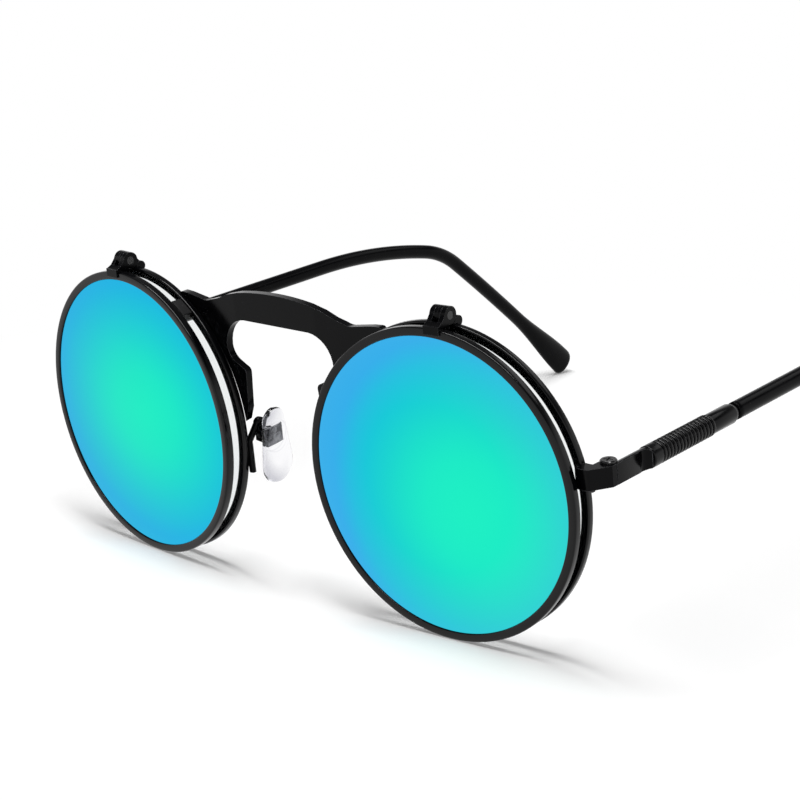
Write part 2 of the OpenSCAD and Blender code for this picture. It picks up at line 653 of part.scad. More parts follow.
// Clear teardrop pad, moulded round the insert
module nose_pad() {
    low_r = pad_w / 2;
    top_r = pad_w * 0.36;
    color("#e8eef0", 0.5) at_pad() difference() {
        translate([insert_x - 0.1, pad_drop[0], pad_drop[1]]) hull() {
            for (e = [[-(pad_l / 2 - low_r), low_r], [pad_l / 2 - top_r, top_r]])
                translate([0, 0, e[0]]) scale([pad_t / 2 / e[1], 1, 1]) sphere(r = e[1], $fn = 28);
        }
        insert_shape(seat);
        translate([-box_d[0] / 2 - pad_clear - 0.1, -box_d[1] / 2 - pad_clear, -5]) cube([4, box_d[1] + 2 * pad_clear + pad_head_t, 10]);
    }
}

standing() bridge_plate();
standing() side(1) main_rim();  // main_rim_left
standing() side(1) clear_lens();  // clear_lens_left
standing() side(1) hinge_post();  // hinge_post_left
standing() side(1) rim_lock();  // rim_lock_left
standing() side(1) rim_screw();  // rim_screw_left
standing() side(1) end_piece();  // end_piece_left
standing() side(1) temple_screw();  // temple_screw_left
standing() side(1) pad_arm();  // pad_arm_left
standing() side(1) pad_box();  // pad_box_left
standing() side(1) pad_screw();  // pad_screw_left
standing() side(1) flip_rim();  // flip_rim_left
standing() side(1) mirror_lens();  // mirror_lens_left
standing() side(1) flip_bracket();  // flip_bracket_left
standing() side(1) flip_pin();  // flip_pin_left
standing() side(1) bumper();  // bumper_left
standing() side(1) nose_pad();  // nose_pad_left
standing() side(1) pad_insert();  // pad_insert_left
standing() side(1) temple_bar();  // temple_bar_left
standing() side(1) ribbed_sleeve();  // ribbed_sleeve_left
standing() side(1) collar();  // collar_left
standing() side(1) core_wire();  // core_wire_left
standing() side(1) ear_sock();  // ear_sock_left
standing() side(-1) main_rim();  // main_rim_right
standing() side(-1) clear_lens();  // clear_lens_right
standing() side(-1) hinge_post();  // hinge_post_right
standing() side(-1) rim_lock();  // rim_lock_right
standing() side(-1) rim_screw();  // rim_screw_right
standing() side(-1) end_piece();  // end_piece_right
standing() side(-1) temple_screw();  // temple_screw_right
standing() side(-1) pad_arm();  // pad_arm_right
standing() side(-1) pad_box();  // pad_box_right
standing() side(-1) pad_screw();  // pad_screw_right
standing() side(-1) flip_rim();  // flip_rim_right
standing() side(-1) mirror_lens();  // mirror_lens_right
standing() side(-1) flip_bracket();  // flip_bracket_right
standing() side(-1) flip_pin();  // flip_pin_right
standing() side(-1) bumper();  // bumper_right
standing() side(-1) nose_pad();  // nose_pad_right
standing() side(-1) pad_insert();  // pad_insert_right
standing() side(-1) temple_bar();  // temple_bar_right
standing() side(-1) ribbed_sleeve();  // ribbed_sleeve_right
standing() side(-1) collar();  // collar_right
standing() side(-1) core_wire();  // core_wire_right
standing() side(-1) ear_sock();  // ear_sock_right
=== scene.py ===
# %% [markdown]
# # Flip up sunglasses, dressed for a picture
# The measured model of the glasses is loaded first and never moved. Each visible piece then gets
# a smooth skin or a better finish in the same place, so the real sizes stay what they are.

# %% Load the measured model
import json
import math

import bmesh
import bpy
from mathutils import Matrix, Quaternion, Vector

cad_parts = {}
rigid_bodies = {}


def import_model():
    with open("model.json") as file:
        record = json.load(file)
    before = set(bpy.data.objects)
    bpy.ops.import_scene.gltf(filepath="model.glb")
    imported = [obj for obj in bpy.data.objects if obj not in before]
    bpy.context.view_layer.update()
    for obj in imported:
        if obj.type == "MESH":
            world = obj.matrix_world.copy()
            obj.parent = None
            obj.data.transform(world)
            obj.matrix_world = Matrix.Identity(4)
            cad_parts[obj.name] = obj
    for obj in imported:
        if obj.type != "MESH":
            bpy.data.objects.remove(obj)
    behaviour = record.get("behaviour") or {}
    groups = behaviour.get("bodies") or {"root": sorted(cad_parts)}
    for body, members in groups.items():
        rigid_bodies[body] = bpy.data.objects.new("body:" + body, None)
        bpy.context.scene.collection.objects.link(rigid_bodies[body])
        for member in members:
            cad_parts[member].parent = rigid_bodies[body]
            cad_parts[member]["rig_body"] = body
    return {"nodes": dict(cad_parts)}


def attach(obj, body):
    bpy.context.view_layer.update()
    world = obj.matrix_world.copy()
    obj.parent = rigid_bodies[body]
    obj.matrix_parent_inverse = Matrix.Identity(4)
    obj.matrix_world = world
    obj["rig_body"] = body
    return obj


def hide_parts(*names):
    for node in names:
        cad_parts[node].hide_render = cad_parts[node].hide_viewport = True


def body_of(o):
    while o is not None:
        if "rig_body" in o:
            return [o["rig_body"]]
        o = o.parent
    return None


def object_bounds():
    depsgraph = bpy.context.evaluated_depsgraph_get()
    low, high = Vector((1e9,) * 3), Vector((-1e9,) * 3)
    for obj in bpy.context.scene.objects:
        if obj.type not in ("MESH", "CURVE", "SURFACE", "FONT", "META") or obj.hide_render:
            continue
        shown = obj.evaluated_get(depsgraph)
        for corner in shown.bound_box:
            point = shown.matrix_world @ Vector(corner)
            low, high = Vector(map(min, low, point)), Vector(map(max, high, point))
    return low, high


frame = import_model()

cad_low, cad_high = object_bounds()
CAD = frame["nodes"]
cad_size = [round(v * 1000, 2) for v in cad_high - cad_low]
print("measured model:", len(CAD), "nodes, size in mm", cad_size)

# %% [markdown]
# ## The two drawing frames
# An optician measures a frame from the plane of its lenses. Here too a point is written in
# millimetres in that lens frame: X to the wearer's left, Y backwards, Z up, zero between the
# lenses. `STAND` tips the lens frame forward until the open glasses stand on rims and ear tips.

# %% Lens frame and standing frame
MM = 0.001
STAND_TILT = math.radians(4.93159)
STAND = Matrix.Translation((0, -72.4705 * MM, 25.7886 * MM)) @ Matrix.Rotation(STAND_TILT, 4, "X")
LENS_R = 25.0
LENS_CX = 36.3
WRAP = math.radians(4.8)
RIM_IN = 24.5
RIM_OUT = 25.9
MAIN_Y = 3.5
FLIP_DEPTH = 1.5
MAIN_DEPTH = 1.3
TOE_IN = math.radians(2)
PIVOT = Vector((63.8592, 8.51726, 0))
TEMPLE_X = 65.2092
TEMPLE_Z = 4.85
SIDES = {"left": 1, "right": -1}


def mirror(side):
    return Matrix.Scale(SIDES[side], 4, (1, 0, 0))


def lens_place(side):
    middle = Matrix.Translation((LENS_CX * MM, 0, 0))
    return STAND @ mirror(side) @ middle @ Matrix.Rotation(WRAP, 4, "Z")


def temple_place(side):
    there, back = Matrix.Translation(PIVOT * MM), Matrix.Translation(-PIVOT * MM)
    toe = there @ Matrix.Rotation(TOE_IN, 4, "Z") @ back
    return STAND @ mirror(side) @ toe


print("stand tilt", round(math.degrees(STAND_TILT), 2), "degrees")

# %% [markdown]
# ## The camera
# The photograph was taken from the wearer's front left, a little above, with a long lens. The
# camera is therefore given by azimuth, height angle and roll against the lens plane, and goes
# through the same standing turn as the glasses.

# %% Camera at the photograph's viewing angle
VIEW_AZIMUTH = math.radians(45.369)
VIEW_HEIGHT = math.radians(18.2836)
VIEW_ROLL = math.radians(-5.6155)
VIEW_FROM = Vector((263.04, -230.14, 121.56))


def aim_camera():
    a, e, r = VIEW_AZIMUTH, VIEW_HEIGHT, VIEW_ROLL
    back = Vector((math.sin(a) * math.cos(e), -math.cos(a) * math.cos(e), math.sin(e)))
    level = Vector((math.cos(a), math.sin(a), 0))
    up = back.cross(level)
    across = level * math.cos(r) + up * math.sin(r)
    upright = up * math.cos(r) - level * math.sin(r)
    turn = STAND.to_3x3() @ Matrix((across, upright, back)).transposed()
    data = bpy.data.cameras.new("camera")
    data.lens = 100
    data.sensor_width = 36
    data.clip_start = 0.01
    camera = bpy.data.objects.new("camera", data)
    camera.matrix_world = Matrix.Translation(STAND @ (VIEW_FROM * MM)) @ turn.to_4x4()
    bpy.context.scene.collection.objects.link(camera)
    bpy.context.scene.camera = camera
    return camera


print("camera at", [round(v, 3) for v in aim_camera().matrix_world.translation])

# %% [markdown]
# ## Small helpers for shader nodes
# A material is a small graph. `add` makes one node and fills in its settings, and `wire` joins
# an output to an input, so that each finish below reads as a list of steps.

# %% Node helpers
def add(tree, kind, inputs=None, **settings):
    made = tree.nodes.new(kind)
    for name, value in settings.items():
        setattr(made, name, value)
    for name, value in (inputs or {}).items():
        made.inputs[name].default_value = value
    return made


def wire(tree, source, target):
    tree.links.new(source, target)


def math_node(tree, operation, first, second=None):
    made = add(tree, "ShaderNodeMath", operation=operation)
    for slot_number, value in enumerate([first, second]):
        if isinstance(value, (int, float)):
            made.inputs[slot_number].default_value = value
        elif value is not None:
            wire(tree, value, made.inputs[slot_number])
    return made.outputs[0]


def remap(tree, value, low, high, to_low=0.0, to_high=1.0):
    ends = {"From Min": low, "From Max": high, "To Min": to_low, "To Max": to_high}
    made = add(tree, "ShaderNodeMapRange", ends)
    wire(tree, value, made.inputs["Value"])
    return made.outputs["Result"]


def blend_colours(tree, mask, below, above):
    made = add(tree, "ShaderNodeMix", data_type="RGBA")
    wire(tree, mask, made.inputs[0])
    for position, colour in ((6, below), (7, above)):
        if isinstance(colour, tuple):
            made.inputs[position].default_value = (*colour, 1)
        else:
            wire(tree, colour, made.inputs[position])
    return made.outputs[2]


def new_group(name, inputs, outputs):
    tree = bpy.data.node_groups.new(name, "ShaderNodeTree")
    number = "NodeSocketFloat"
    for label, value in inputs.items():
        made = tree.interface.new_socket(name=label, in_out="INPUT", socket_type=number)
        made.default_value = value
    for label in outputs:
        tree.interface.new_socket(name=label, in_out="OUTPUT", socket_type=number)
    return tree, add(tree, "NodeGroupInput"), add(tree, "NodeGroupOutput")


def use_group(tree, group, **values):
    made = add(tree, "ShaderNodeGroup", node_tree=group)
    for label, value in values.items():
        made.inputs[label].default_value = value
    return made


# %% [markdown]
# ## Shared effects
# Four effects turn up on several finishes: a fine grain in the surface, soft patches left by
# handling, rubbed edges that also carry a painted highlight, and specks of dust. An edge is found
# by rounding the surface for a moment and asking where that turns it away from its own face. Each
# effect is a node group with its own named inputs, so one idea serves metal, rubber, plastic and
# lens.

# %% Fine grain
def make_grain():
    tree, given, result = new_group("fine grain", {"Scale": 4000.0, "Contrast": 1.0}, ["Height"])
    place = add(tree, "ShaderNodeTexCoord")
    cloud = add(tree, "ShaderNodeTexNoise", {"Detail": 3.0, "Roughness": 0.6})
    wire(tree, place.outputs["Object"], cloud.inputs["Vector"])
    wire(tree, given.outputs["Scale"], cloud.inputs["Scale"])
    centred = math_node(tree, "SUBTRACT", cloud.outputs[0], 0.5)
    height = math_node(tree, "MULTIPLY", centred, given.outputs["Contrast"])
    wire(tree, height, result.inputs["Height"])
    return tree


GRAIN = make_grain()
print("group:", GRAIN.name)


# %% Patches left by handling
PATCH_FROM = 0.38
PATCH_TO = 0.66


def make_handling():
    tree, given, result = new_group("handling", {"Scale": 120.0, "Amount": 1.0}, ["Mask"])
    place = add(tree, "ShaderNodeTexCoord")
    cloud = add(tree, "ShaderNodeTexNoise", {"Detail": 4.0, "Roughness": 0.55, "Distortion": 0.4})
    wire(tree, place.outputs["Object"], cloud.inputs["Vector"])
    wire(tree, given.outputs["Scale"], cloud.inputs["Scale"])
    patches = remap(tree, cloud.outputs[0], PATCH_FROM, PATCH_TO)
    mask = math_node(tree, "MULTIPLY", patches, given.outputs["Amount"])
    wire(tree, mask, result.inputs["Mask"])
    return tree


HANDLING = make_handling()
print("group:", HANDLING.name)


# %% Rubbed edges with a painted highlight
EDGE_REACH = 0.14
EDGE_FLAT = 0.985
EDGE_SHARP = 0.86
CHIPS_FROM = 0.4
CHIPS_TO = 0.7
LEAST_CHIPS = 0.25


def make_edge_wear_and_glint():
    tree, given, result = new_group("edge wear and glint", {"Amount": 1.0, "Scale": 900.0}, ["Mask"])
    shape = add(tree, "ShaderNodeNewGeometry")
    rounded = add(tree, "ShaderNodeBevel", {"Radius": EDGE_REACH * MM}, samples=6)
    same = add(tree, "ShaderNodeVectorMath", operation="DOT_PRODUCT")
    wire(tree, rounded.outputs[0], same.inputs[0])
    wire(tree, shape.outputs["True Normal"], same.inputs[1])
    place = add(tree, "ShaderNodeTexCoord")
    cloud = add(tree, "ShaderNodeTexNoise", {"Detail": 3.0})
    wire(tree, place.outputs["Object"], cloud.inputs["Vector"])
    wire(tree, given.outputs["Scale"], cloud.inputs["Scale"])
    # The mask marks real rubbed wear and also a painted highlight along the edges.
    ridge = remap(tree, same.outputs["Value"], EDGE_FLAT, EDGE_SHARP)
    chips = remap(tree, cloud.outputs[0], CHIPS_FROM, CHIPS_TO, LEAST_CHIPS, 1.0)
    broken = math_node(tree, "MULTIPLY", ridge, chips)
    wire(tree, math_node(tree, "MULTIPLY", broken, given.outputs["Amount"]), result.inputs["Mask"])
    return tree


EDGE_WEAR_AND_GLINT = make_edge_wear_and_glint()
print("group:", EDGE_WEAR_AND_GLINT.name)


# %% Specks of dust
SPECK_EDGE = 0.16
SPECK_CORE = 0.05


def make_dust():
    tree, given, result = new_group("dust specks", {"Scale": 900.0, "Amount": 0.5}, ["Mask"])
    place = add(tree, "ShaderNodeTexCoord")
    cells = add(tree, "ShaderNodeTexVoronoi", {"Randomness": 1.0})
    wire(tree, place.outputs["Object"], cells.inputs["Vector"])
    wire(tree, given.outputs["Scale"], cells.inputs["Scale"])
    speck = remap(tree, cells.outputs["Distance"], SPECK_EDGE, SPECK_CORE)
    wire(tree, math_node(tree, "MULTIPLY", speck, given.outputs["Amount"]), result.inputs["Mask"])
    return tree


DUST = make_dust()
print("group:", DUST.name)

# %% [markdown]
# ## Black satin metal
# The rims, bridge, hinges and temples are wire and sheet with a dark satin coat. A photograph of
# it shows almost black with soft grey streaks, so the colour is very dark, the shine low and a
# little uneven, and the edges are rubbed a shade lighter, which also paints a highlight along
# them. Rim wire, ribbed sleeves, screws and the bare steel inside follow the same recipe with
# other numbers.

# %% The metals
METAL_UNEVEN = 0.08


def start_material(name):
    material = bpy.data.materials.new(name)
    material.use_nodes = True
    tree = material.node_tree
    return material, tree, tree.nodes["Principled BSDF"]


def bump(tree, height, surface, strength, depth):
    made = add(tree, "ShaderNodeBump", {"Strength": strength, "Distance": depth * MM})
    wire(tree, height, made.inputs["Height"])
    wire(tree, made.outputs[0], surface.inputs["Normal"])


def make_metal(name, dark, pale, worn_and_glint, shine, roughness, wear_and_glint, metallic=0.0, patch_scale=160.0):
    material, tree, surface = start_material(name)
    patches = use_group(tree, HANDLING, Scale=patch_scale, Amount=1.0)
    edges = use_group(tree, EDGE_WEAR_AND_GLINT, Amount=wear_and_glint, Scale=1100.0)
    grain = use_group(tree, GRAIN, Scale=9000.0, Contrast=1.0)
    body_colour = blend_colours(tree, patches.outputs[0], dark, pale)
    # The lighter edge colour is partly rubbed wear and partly a painted highlight.
    rubbed_and_glinting = blend_colours(tree, edges.outputs[0], body_colour, worn_and_glint)
    wire(tree, rubbed_and_glinting, surface.inputs["Base Color"])
    uneven = remap(tree, patches.outputs[0], 0, 1, roughness, roughness + METAL_UNEVEN)
    wire(tree, uneven, surface.inputs["Roughness"])
    surface.inputs["Specular IOR Level"].default_value = shine
    surface.inputs["Metallic"].default_value = metallic
    bump(tree, grain.outputs[0], surface, strength=0.08, depth=0.01)
    return material


# Each worn colour below also serves as a painted edge highlight.
SATIN = make_metal(
    "black_satin_metal", dark=(0.0010, 0.0010, 0.0015), pale=(0.0020, 0.0020, 0.0026),
    worn_and_glint=(0.16, 0.16, 0.17), shine=0.09, roughness=0.12, wear_and_glint=0.75,
)
RIM_METAL = make_metal(
    "rim_wire_metal", dark=(0.0010, 0.0010, 0.0015), pale=(0.0020, 0.0020, 0.0026),
    worn_and_glint=(0.20, 0.20, 0.21), shine=0.24, roughness=0.14, wear_and_glint=0.2,
)
RIBBED = make_metal(
    "ribbed_sleeve_metal", dark=(0.0012, 0.0012, 0.0016), pale=(0.0026, 0.0026, 0.0030),
    worn_and_glint=(0.15, 0.15, 0.16), shine=0.22, roughness=0.19, wear_and_glint=0.55,
)
SCREW = make_metal(
    "dark_screw_metal", dark=(0.004, 0.004, 0.0045), pale=(0.010, 0.010, 0.011),
    worn_and_glint=(0.22, 0.22, 0.22), shine=0.5, roughness=0.16, wear_and_glint=0.9,
)
STEEL = make_metal(
    "bare_steel", dark=(0.16, 0.165, 0.18), pale=(0.5, 0.5, 0.52),
    worn_and_glint=(0.62, 0.62, 0.62), shine=0.5, roughness=0.22, wear_and_glint=0.5, metallic=1.0,
)
INSERT = make_metal(
    "insert_metal", dark=(0.05, 0.052, 0.06), pale=(0.30, 0.31, 0.33), worn_and_glint=(0.4, 0.4, 0.42),
    shine=0.5, roughness=0.25, wear_and_glint=0.6, metallic=1.0, patch_scale=900.0,
)
print("metals:", [metal.name for metal in (SATIN, RIM_METAL, RIBBED, SCREW, STEEL, INSERT)])

# %% [markdown]
# ## The mirror lens
# The outer lens has a thin vacuum coating on its front. It acts as a coloured mirror, green
# round one spot and then cyan and blue towards the rim, where the layer is seen more slantwise.
# So its front is a metal-like mirror whose colour follows the distance from that spot, its
# bevel is pale cyan plastic, and its back is dark tinted glass. The two lenses are seen from
# different angles, so each has a spot and a run of colours of its own.

# %% Colours of the coating
def screen(red, green, blue):
    """A colour read off a screen, 0 to 255, turned into the linear light that Blender mixes."""
    return tuple(((c / 255 + 0.055) / 1.055) ** 2.4 for c in (red, green, blue))


COATING_RUN = 28.0
COATING_DRIFT = 0.024
COATING_ROUGH = 0.06
COATING_SMEAR = 0.05
RIM_SHEEN_FROM = 14
RIM_SHEEN_TO = 24.4
RIM_SHEEN_TINT = (0.9, 1.0, 1.0)
COATING_STOPS = {
    "left": [
        (0.0, screen(30, 241, 196)),
        (0.30, screen(29, 237, 198)),
        (0.50, screen(27, 222, 203)),
        (0.68, screen(24, 207, 212)),
        (0.86, screen(22, 192, 224)),
        (1.0, screen(44, 170, 237)),
    ],
    "right": [
        (0.0, screen(8, 240, 197)),
        (0.30, screen(8, 234, 199)),
        (0.50, screen(8, 221, 206)),
        (0.68, screen(8, 206, 214)),
        (0.86, screen(8, 191, 223)),
        (1.0, screen(10, 179, 231)),
    ],
}
print("coating runs over", COATING_RUN, "mm in", len(COATING_STOPS["left"]), "steps")


# %% Mirror coating
def make_coating(side, outward, up, tall, pale):
    """Green round a spot in mm on the lens, then cyan and blue, with a painted pale sheen at the
    rim.
    """
    material, tree, surface = start_material("mirror_coating_" + side)
    place = add(tree, "ShaderNodeTexCoord")
    offset = add(tree, "ShaderNodeVectorMath", operation="SUBTRACT")
    offset.inputs[1].default_value = lens_place(side) @ (Vector((outward, 0, up)) * MM)
    wire(tree, place.outputs["Object"], offset.inputs[0])
    stretched = add(tree, "ShaderNodeVectorMath", operation="MULTIPLY")
    stretched.inputs[1].default_value = (1, 1, tall)
    wire(tree, offset.outputs[0], stretched.inputs[0])
    away = add(tree, "ShaderNodeVectorMath", operation="LENGTH")
    wire(tree, stretched.outputs[0], away.inputs[0])
    drift = use_group(tree, HANDLING, Scale=24.0, Amount=COATING_DRIFT)
    shift = -COATING_DRIFT / 2
    run = remap(tree, away.outputs["Value"], 0, COATING_RUN * MM, shift, 1 + shift)
    ramp = add(tree, "ShaderNodeValToRGB")
    ramp.color_ramp.interpolation = "B_SPLINE"
    stops = COATING_STOPS[side]
    for position, colour in stops[1:-1]:
        ramp.color_ramp.elements.new(position).color = (*colour, 1)
    for end, (position, colour) in ((0, stops[0]), (-1, stops[-1])):
        ramp.color_ramp.elements[end].position = position
        ramp.color_ramp.elements[end].color = (*colour, 1)
    wire(tree, math_node(tree, "ADD", run, drift.outputs[0]), ramp.inputs[0])
    out = add(tree, "ShaderNodeVectorMath", operation="DISTANCE")
    out.inputs[1].default_value = lens_place(side).translation
    wire(tree, place.outputs["Object"], out.inputs[0])
    # Painted sheen: the colour turns paler towards the lens rim, where the coating is seen more
    # slantwise.
    rim_sheen = remap(tree, out.outputs["Value"], RIM_SHEEN_FROM * MM, RIM_SHEEN_TO * MM, 0.0, pale)
    colour = blend_colours(tree, rim_sheen, ramp.outputs[0], RIM_SHEEN_TINT)
    wire(tree, colour, surface.inputs["Base Color"])
    smears = use_group(tree, HANDLING, Scale=60.0, Amount=COATING_SMEAR)
    uneven = math_node(tree, "ADD", smears.outputs[0], COATING_ROUGH)
    wire(tree, uneven, surface.inputs["Roughness"])
    surface.inputs["Metallic"].default_value = 1.0
    surface.inputs["Specular Tint"].default_value = (0.85, 0.85, 0.85, 1)
    return material


# The pale amount is the strength of the painted sheen at each lens rim.
COATING = {
    "left": make_coating("left", outward=6.5, up=-3.0, tall=1.0, pale=0.024),
    "right": make_coating("right", outward=-3.6, up=1.0, tall=1.2, pale=0.002),
}
print("coatings:", [COATING[side].name for side in SIDES])


# %% Lens edge and tinted back
def make_lens_edge():
    material, tree, surface = start_material("lens_edge")
    grain = use_group(tree, GRAIN, Scale=2500.0, Contrast=0.5)
    patches = use_group(tree, HANDLING, Scale=200.0, Amount=0.6)
    colour = blend_colours(tree, patches.outputs[0], (0.16, 0.72, 0.80), (0.30, 0.82, 0.88))
    wire(tree, colour, surface.inputs["Base Color"])
    surface.inputs["Roughness"].default_value = 0.25
    bump(tree, grain.outputs[0], surface, strength=0.1, depth=0.01)
    return material


def make_tinted_back():
    material, tree, surface = start_material("tinted_back")
    patches = use_group(tree, HANDLING, Scale=70.0, Amount=0.5)
    colour = blend_colours(tree, patches.outputs[0], (0.012, 0.018, 0.024), (0.018, 0.026, 0.034))
    wire(tree, colour, surface.inputs["Base Color"])
    wire(tree, remap(tree, patches.outputs[0], 0, 1, 0.04, 0.10), surface.inputs["Roughness"])
    surface.inputs["Specular IOR Level"].default_value = 0.6
    return material


LENS_EDGE = make_lens_edge()
TINTED_BACK = make_tinted_back()
print("other lens finishes:", LENS_EDGE.name, TINTED_BACK.name)

# %% [markdown]
# ## Clear plastic, rubber and black plastic
# The inner lens is clear plastic, the bumpers are rubber, and the ear tips are moulded black
# plastic with a soft gloss. The clear finish uses the shader's own transmission, so light bends
# through the real thickness, and it lets the lamps through to the floor, as thin clear plastic
# hardly casts a shadow. The nose pads use it too, further on, with painted shade of their own.

# %% Clear plastic
# Grey of the painted shade on the nose pads' thick front edge and pocket line.
PAD_PAINTED_SHADE = (0.60, 0.60, 0.65)
LAMPLIGHT_TINT = (0.92, 0.93, 0.93, 1)
CLEAR_UNEVEN = 1.6


def make_clear(name, tint, cloudy, roughness, bend, grain_depth, painted_shade=None):
    material, tree, surface = start_material(name)
    patches = use_group(tree, HANDLING, Scale=90.0, Amount=1.0)
    grain = use_group(tree, GRAIN, Scale=1600.0, Contrast=1.0)
    colour = blend_colours(tree, patches.outputs[0], tint, cloudy)
    # Painted shade, where given, mixes grey into the colour by place.
    if painted_shade:
        colour = blend_colours(tree, painted_shade(tree), colour, PAD_PAINTED_SHADE)
    wire(tree, colour, surface.inputs["Base Color"])
    uneven = remap(tree, patches.outputs[0], 0, 1, roughness, roughness * CLEAR_UNEVEN)
    wire(tree, uneven, surface.inputs["Roughness"])
    surface.inputs["Transmission Weight"].default_value = 1.0
    surface.inputs["IOR"].default_value = bend
    bump(tree, grain.outputs[0], surface, strength=0.08, depth=grain_depth)
    let_through = add(tree, "ShaderNodeBsdfTransparent", {"Color": LAMPLIGHT_TINT})
    lit = add(tree, "ShaderNodeMixShader")
    wire(tree, add(tree, "ShaderNodeLightPath").outputs["Is Shadow Ray"], lit.inputs[0])
    wire(tree, surface.outputs[0], lit.inputs[1])
    wire(tree, let_through.outputs[0], lit.inputs[2])
    wire(tree, lit.outputs[0], tree.nodes["Material Output"].inputs["Surface"])
    return material


CLEAR_LENS = make_clear(
    "clear_lens_plastic", tint=(0.96, 0.98, 0.98), cloudy=(0.93, 0.96, 0.96),
    roughness=0.015, bend=1.5, grain_depth=0.002,
)
print("clear finish:", CLEAR_LENS.name)


# %% Rubber and black plastic
DUST_COLOUR = (0.35, 0.34, 0.33)
PLASTIC_UNEVEN = 0.1


def make_plastic(name, dark, pale, roughness, shine, grain_scale, grain_depth, dust):
    material, tree, surface = start_material(name)
    patches = use_group(tree, HANDLING, Scale=110.0, Amount=1.0)
    grain = use_group(tree, GRAIN, Scale=grain_scale, Contrast=1.0)
    specks = use_group(tree, DUST, Scale=1300.0, Amount=dust)
    body_colour = blend_colours(tree, patches.outputs[0], dark, pale)
    dusty = blend_colours(tree, specks.outputs[0], body_colour, DUST_COLOUR)
    wire(tree, dusty, surface.inputs["Base Color"])
    uneven = remap(tree, patches.outputs[0], 0, 1, roughness, roughness + PLASTIC_UNEVEN)
    wire(tree, uneven, surface.inputs["Roughness"])
    surface.inputs["Specular IOR Level"].default_value = shine
    bump(tree, grain.outputs[0], surface, strength=0.3, depth=grain_depth)
    return material


RUBBER = make_plastic(
    "bumper_rubber_black", dark=(0.005, 0.005, 0.0055), pale=(0.009, 0.009, 0.010),
    roughness=0.5, shine=0.2, grain_scale=3500.0, grain_depth=0.03, dust=0.1,
)
TIP_PLASTIC = make_plastic(
    "black_tip_plastic", dark=(0.0015, 0.0015, 0.002), pale=(0.003, 0.003, 0.0035),
    roughness=0.16, shine=0.06, grain_scale=6000.0, grain_depth=0.008, dust=0.04,
)
print("dark plastics:", RUBBER.name, TIP_PLASTIC.name)

# %% [markdown]
# ## Skins for machined pieces
# The measured solids have mathematically sharp edges, and nothing real has those. Each kind of
# piece listed below gets a skin: the same faces, joined up, with every sharp edge rounded by a
# Bevel modifier. The rounding only takes material away, so the piece stays inside its measured
# box.


def finish_piece(name, mesh, node, materials):
    """Links the mesh as a piece that rides on its node's body and stands for that node."""
    piece = bpy.data.objects.new(name, mesh)
    bpy.context.scene.collection.objects.link(piece)
    for material in materials:
        mesh.materials.append(material)
    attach(piece, body_of(CAD[node])[0])
    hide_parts(node)
    return piece


# %% Rounded skin of a node
SAME_POINT = 0.002
FLAT_ANGLE = math.radians(0.6)
SHARP_ANGLE = math.radians(28)


def joined_faces(node):
    work = bmesh.new()
    work.from_mesh(CAD[node].data)
    bmesh.ops.remove_doubles(work, verts=work.verts, dist=SAME_POINT * MM)
    bmesh.ops.dissolve_limit(work, angle_limit=FLAT_ANGLE, verts=work.verts, edges=work.edges)
    work.verts.index_update()
    points = [v.co.copy() for v in work.verts]
    faces = [[v.index for v in f.verts] for f in work.faces]
    work.free()
    return points, faces


def skin(node, rounding, material):
    points, faces = joined_faces(node)
    mesh = bpy.data.meshes.new(node + "_skin")
    mesh.from_pydata(points, [], faces)
    mesh.shade_smooth()
    mesh.set_sharp_from_angle(angle=SHARP_ANGLE)
    piece = finish_piece(node + "_skin", mesh, node, [material])
    bevel = piece.modifiers.new("rounded edges", "BEVEL")
    bevel.width = rounding * MM
    bevel.segments = 3
    bevel.limit_method = "ANGLE"
    bevel.angle_limit = SHARP_ANGLE
    bevel.harden_normals = True
    return piece


SKINS = {
    "bridge_plate": (0.16, SATIN),
    "hinge_post": (0.06, SATIN),
    "flip_bracket": (0.06, SATIN),
    "flip_pin": (0.05, SCREW),
    "end_piece": (0.12, SATIN),
    "temple_screw": (0.05, SCREW),
    "rim_lock": (0.08, SATIN),
    "rim_screw": (0.04, SCREW),
    "temple_bar": (0.08, SATIN),
    "collar": (0.08, SATIN),
    "pad_box": (0.08, SATIN),
    "pad_screw": (0.04, SCREW),
    "pad_insert": (0.06, INSERT),
    "bumper": (0.12, RUBBER),
}
for kind, (rounding, material) in SKINS.items():
    for node in sorted(CAD):
        if node in (kind, kind + "_left", kind + "_right"):
            skin(node, rounding, material)
print("skinned kinds:", len(SKINS))

# %% [markdown]
# ## Turned pieces
# Rims, lenses and the ribbed sleeve are round about one axis. A maker would turn or coil them,
# and here a half section is spun round the axis. A spin is exact, needs few numbers, and gives
# clean rows of faces that reflect evenly.

# %% Spin a half section, or loft rings
def spin(section, place, first=0.0, last=360.0, steps=192, closed=True):
    """Spins (radius, depth) points in mm about a place's Y axis: points, faces and bands."""
    whole = abs(last - first) >= 360
    stops = steps if whole else steps + 1
    turns = [math.radians(first + (last - first) * k / steps) for k in range(stops)]
    points, rows = [], []
    for r, y in section:
        if r < 1e-6:
            rows.append([len(points)] * len(turns))
            points.append(place @ (Vector((0, y, 0)) * MM))
        else:
            rows.append(list(range(len(points), len(points) + len(turns))))
            ring = [Vector((r * math.cos(a), y, r * math.sin(a))) for a in turns]
            points.extend(place @ (at * MM) for at in ring)
    faces, bands = [], []
    count = len(section)
    for i in range(count if closed else count - 1):
        here, there = rows[i], rows[(i + 1) % count]
        for k in range(len(turns) if whole else len(turns) - 1):
            n = (k + 1) % len(turns)
            corners = []
            for v in (here[k], there[k], there[n], here[n]):
                if v not in corners:
                    corners.append(v)
            if len(corners) > 2:
                faces.append(corners)
                bands.append(i)
    if not whole:
        faces.extend([[row[0] for row in rows], [row[-1] for row in rows][::-1]])
        bands.extend([0, 0])
    return points, faces, bands


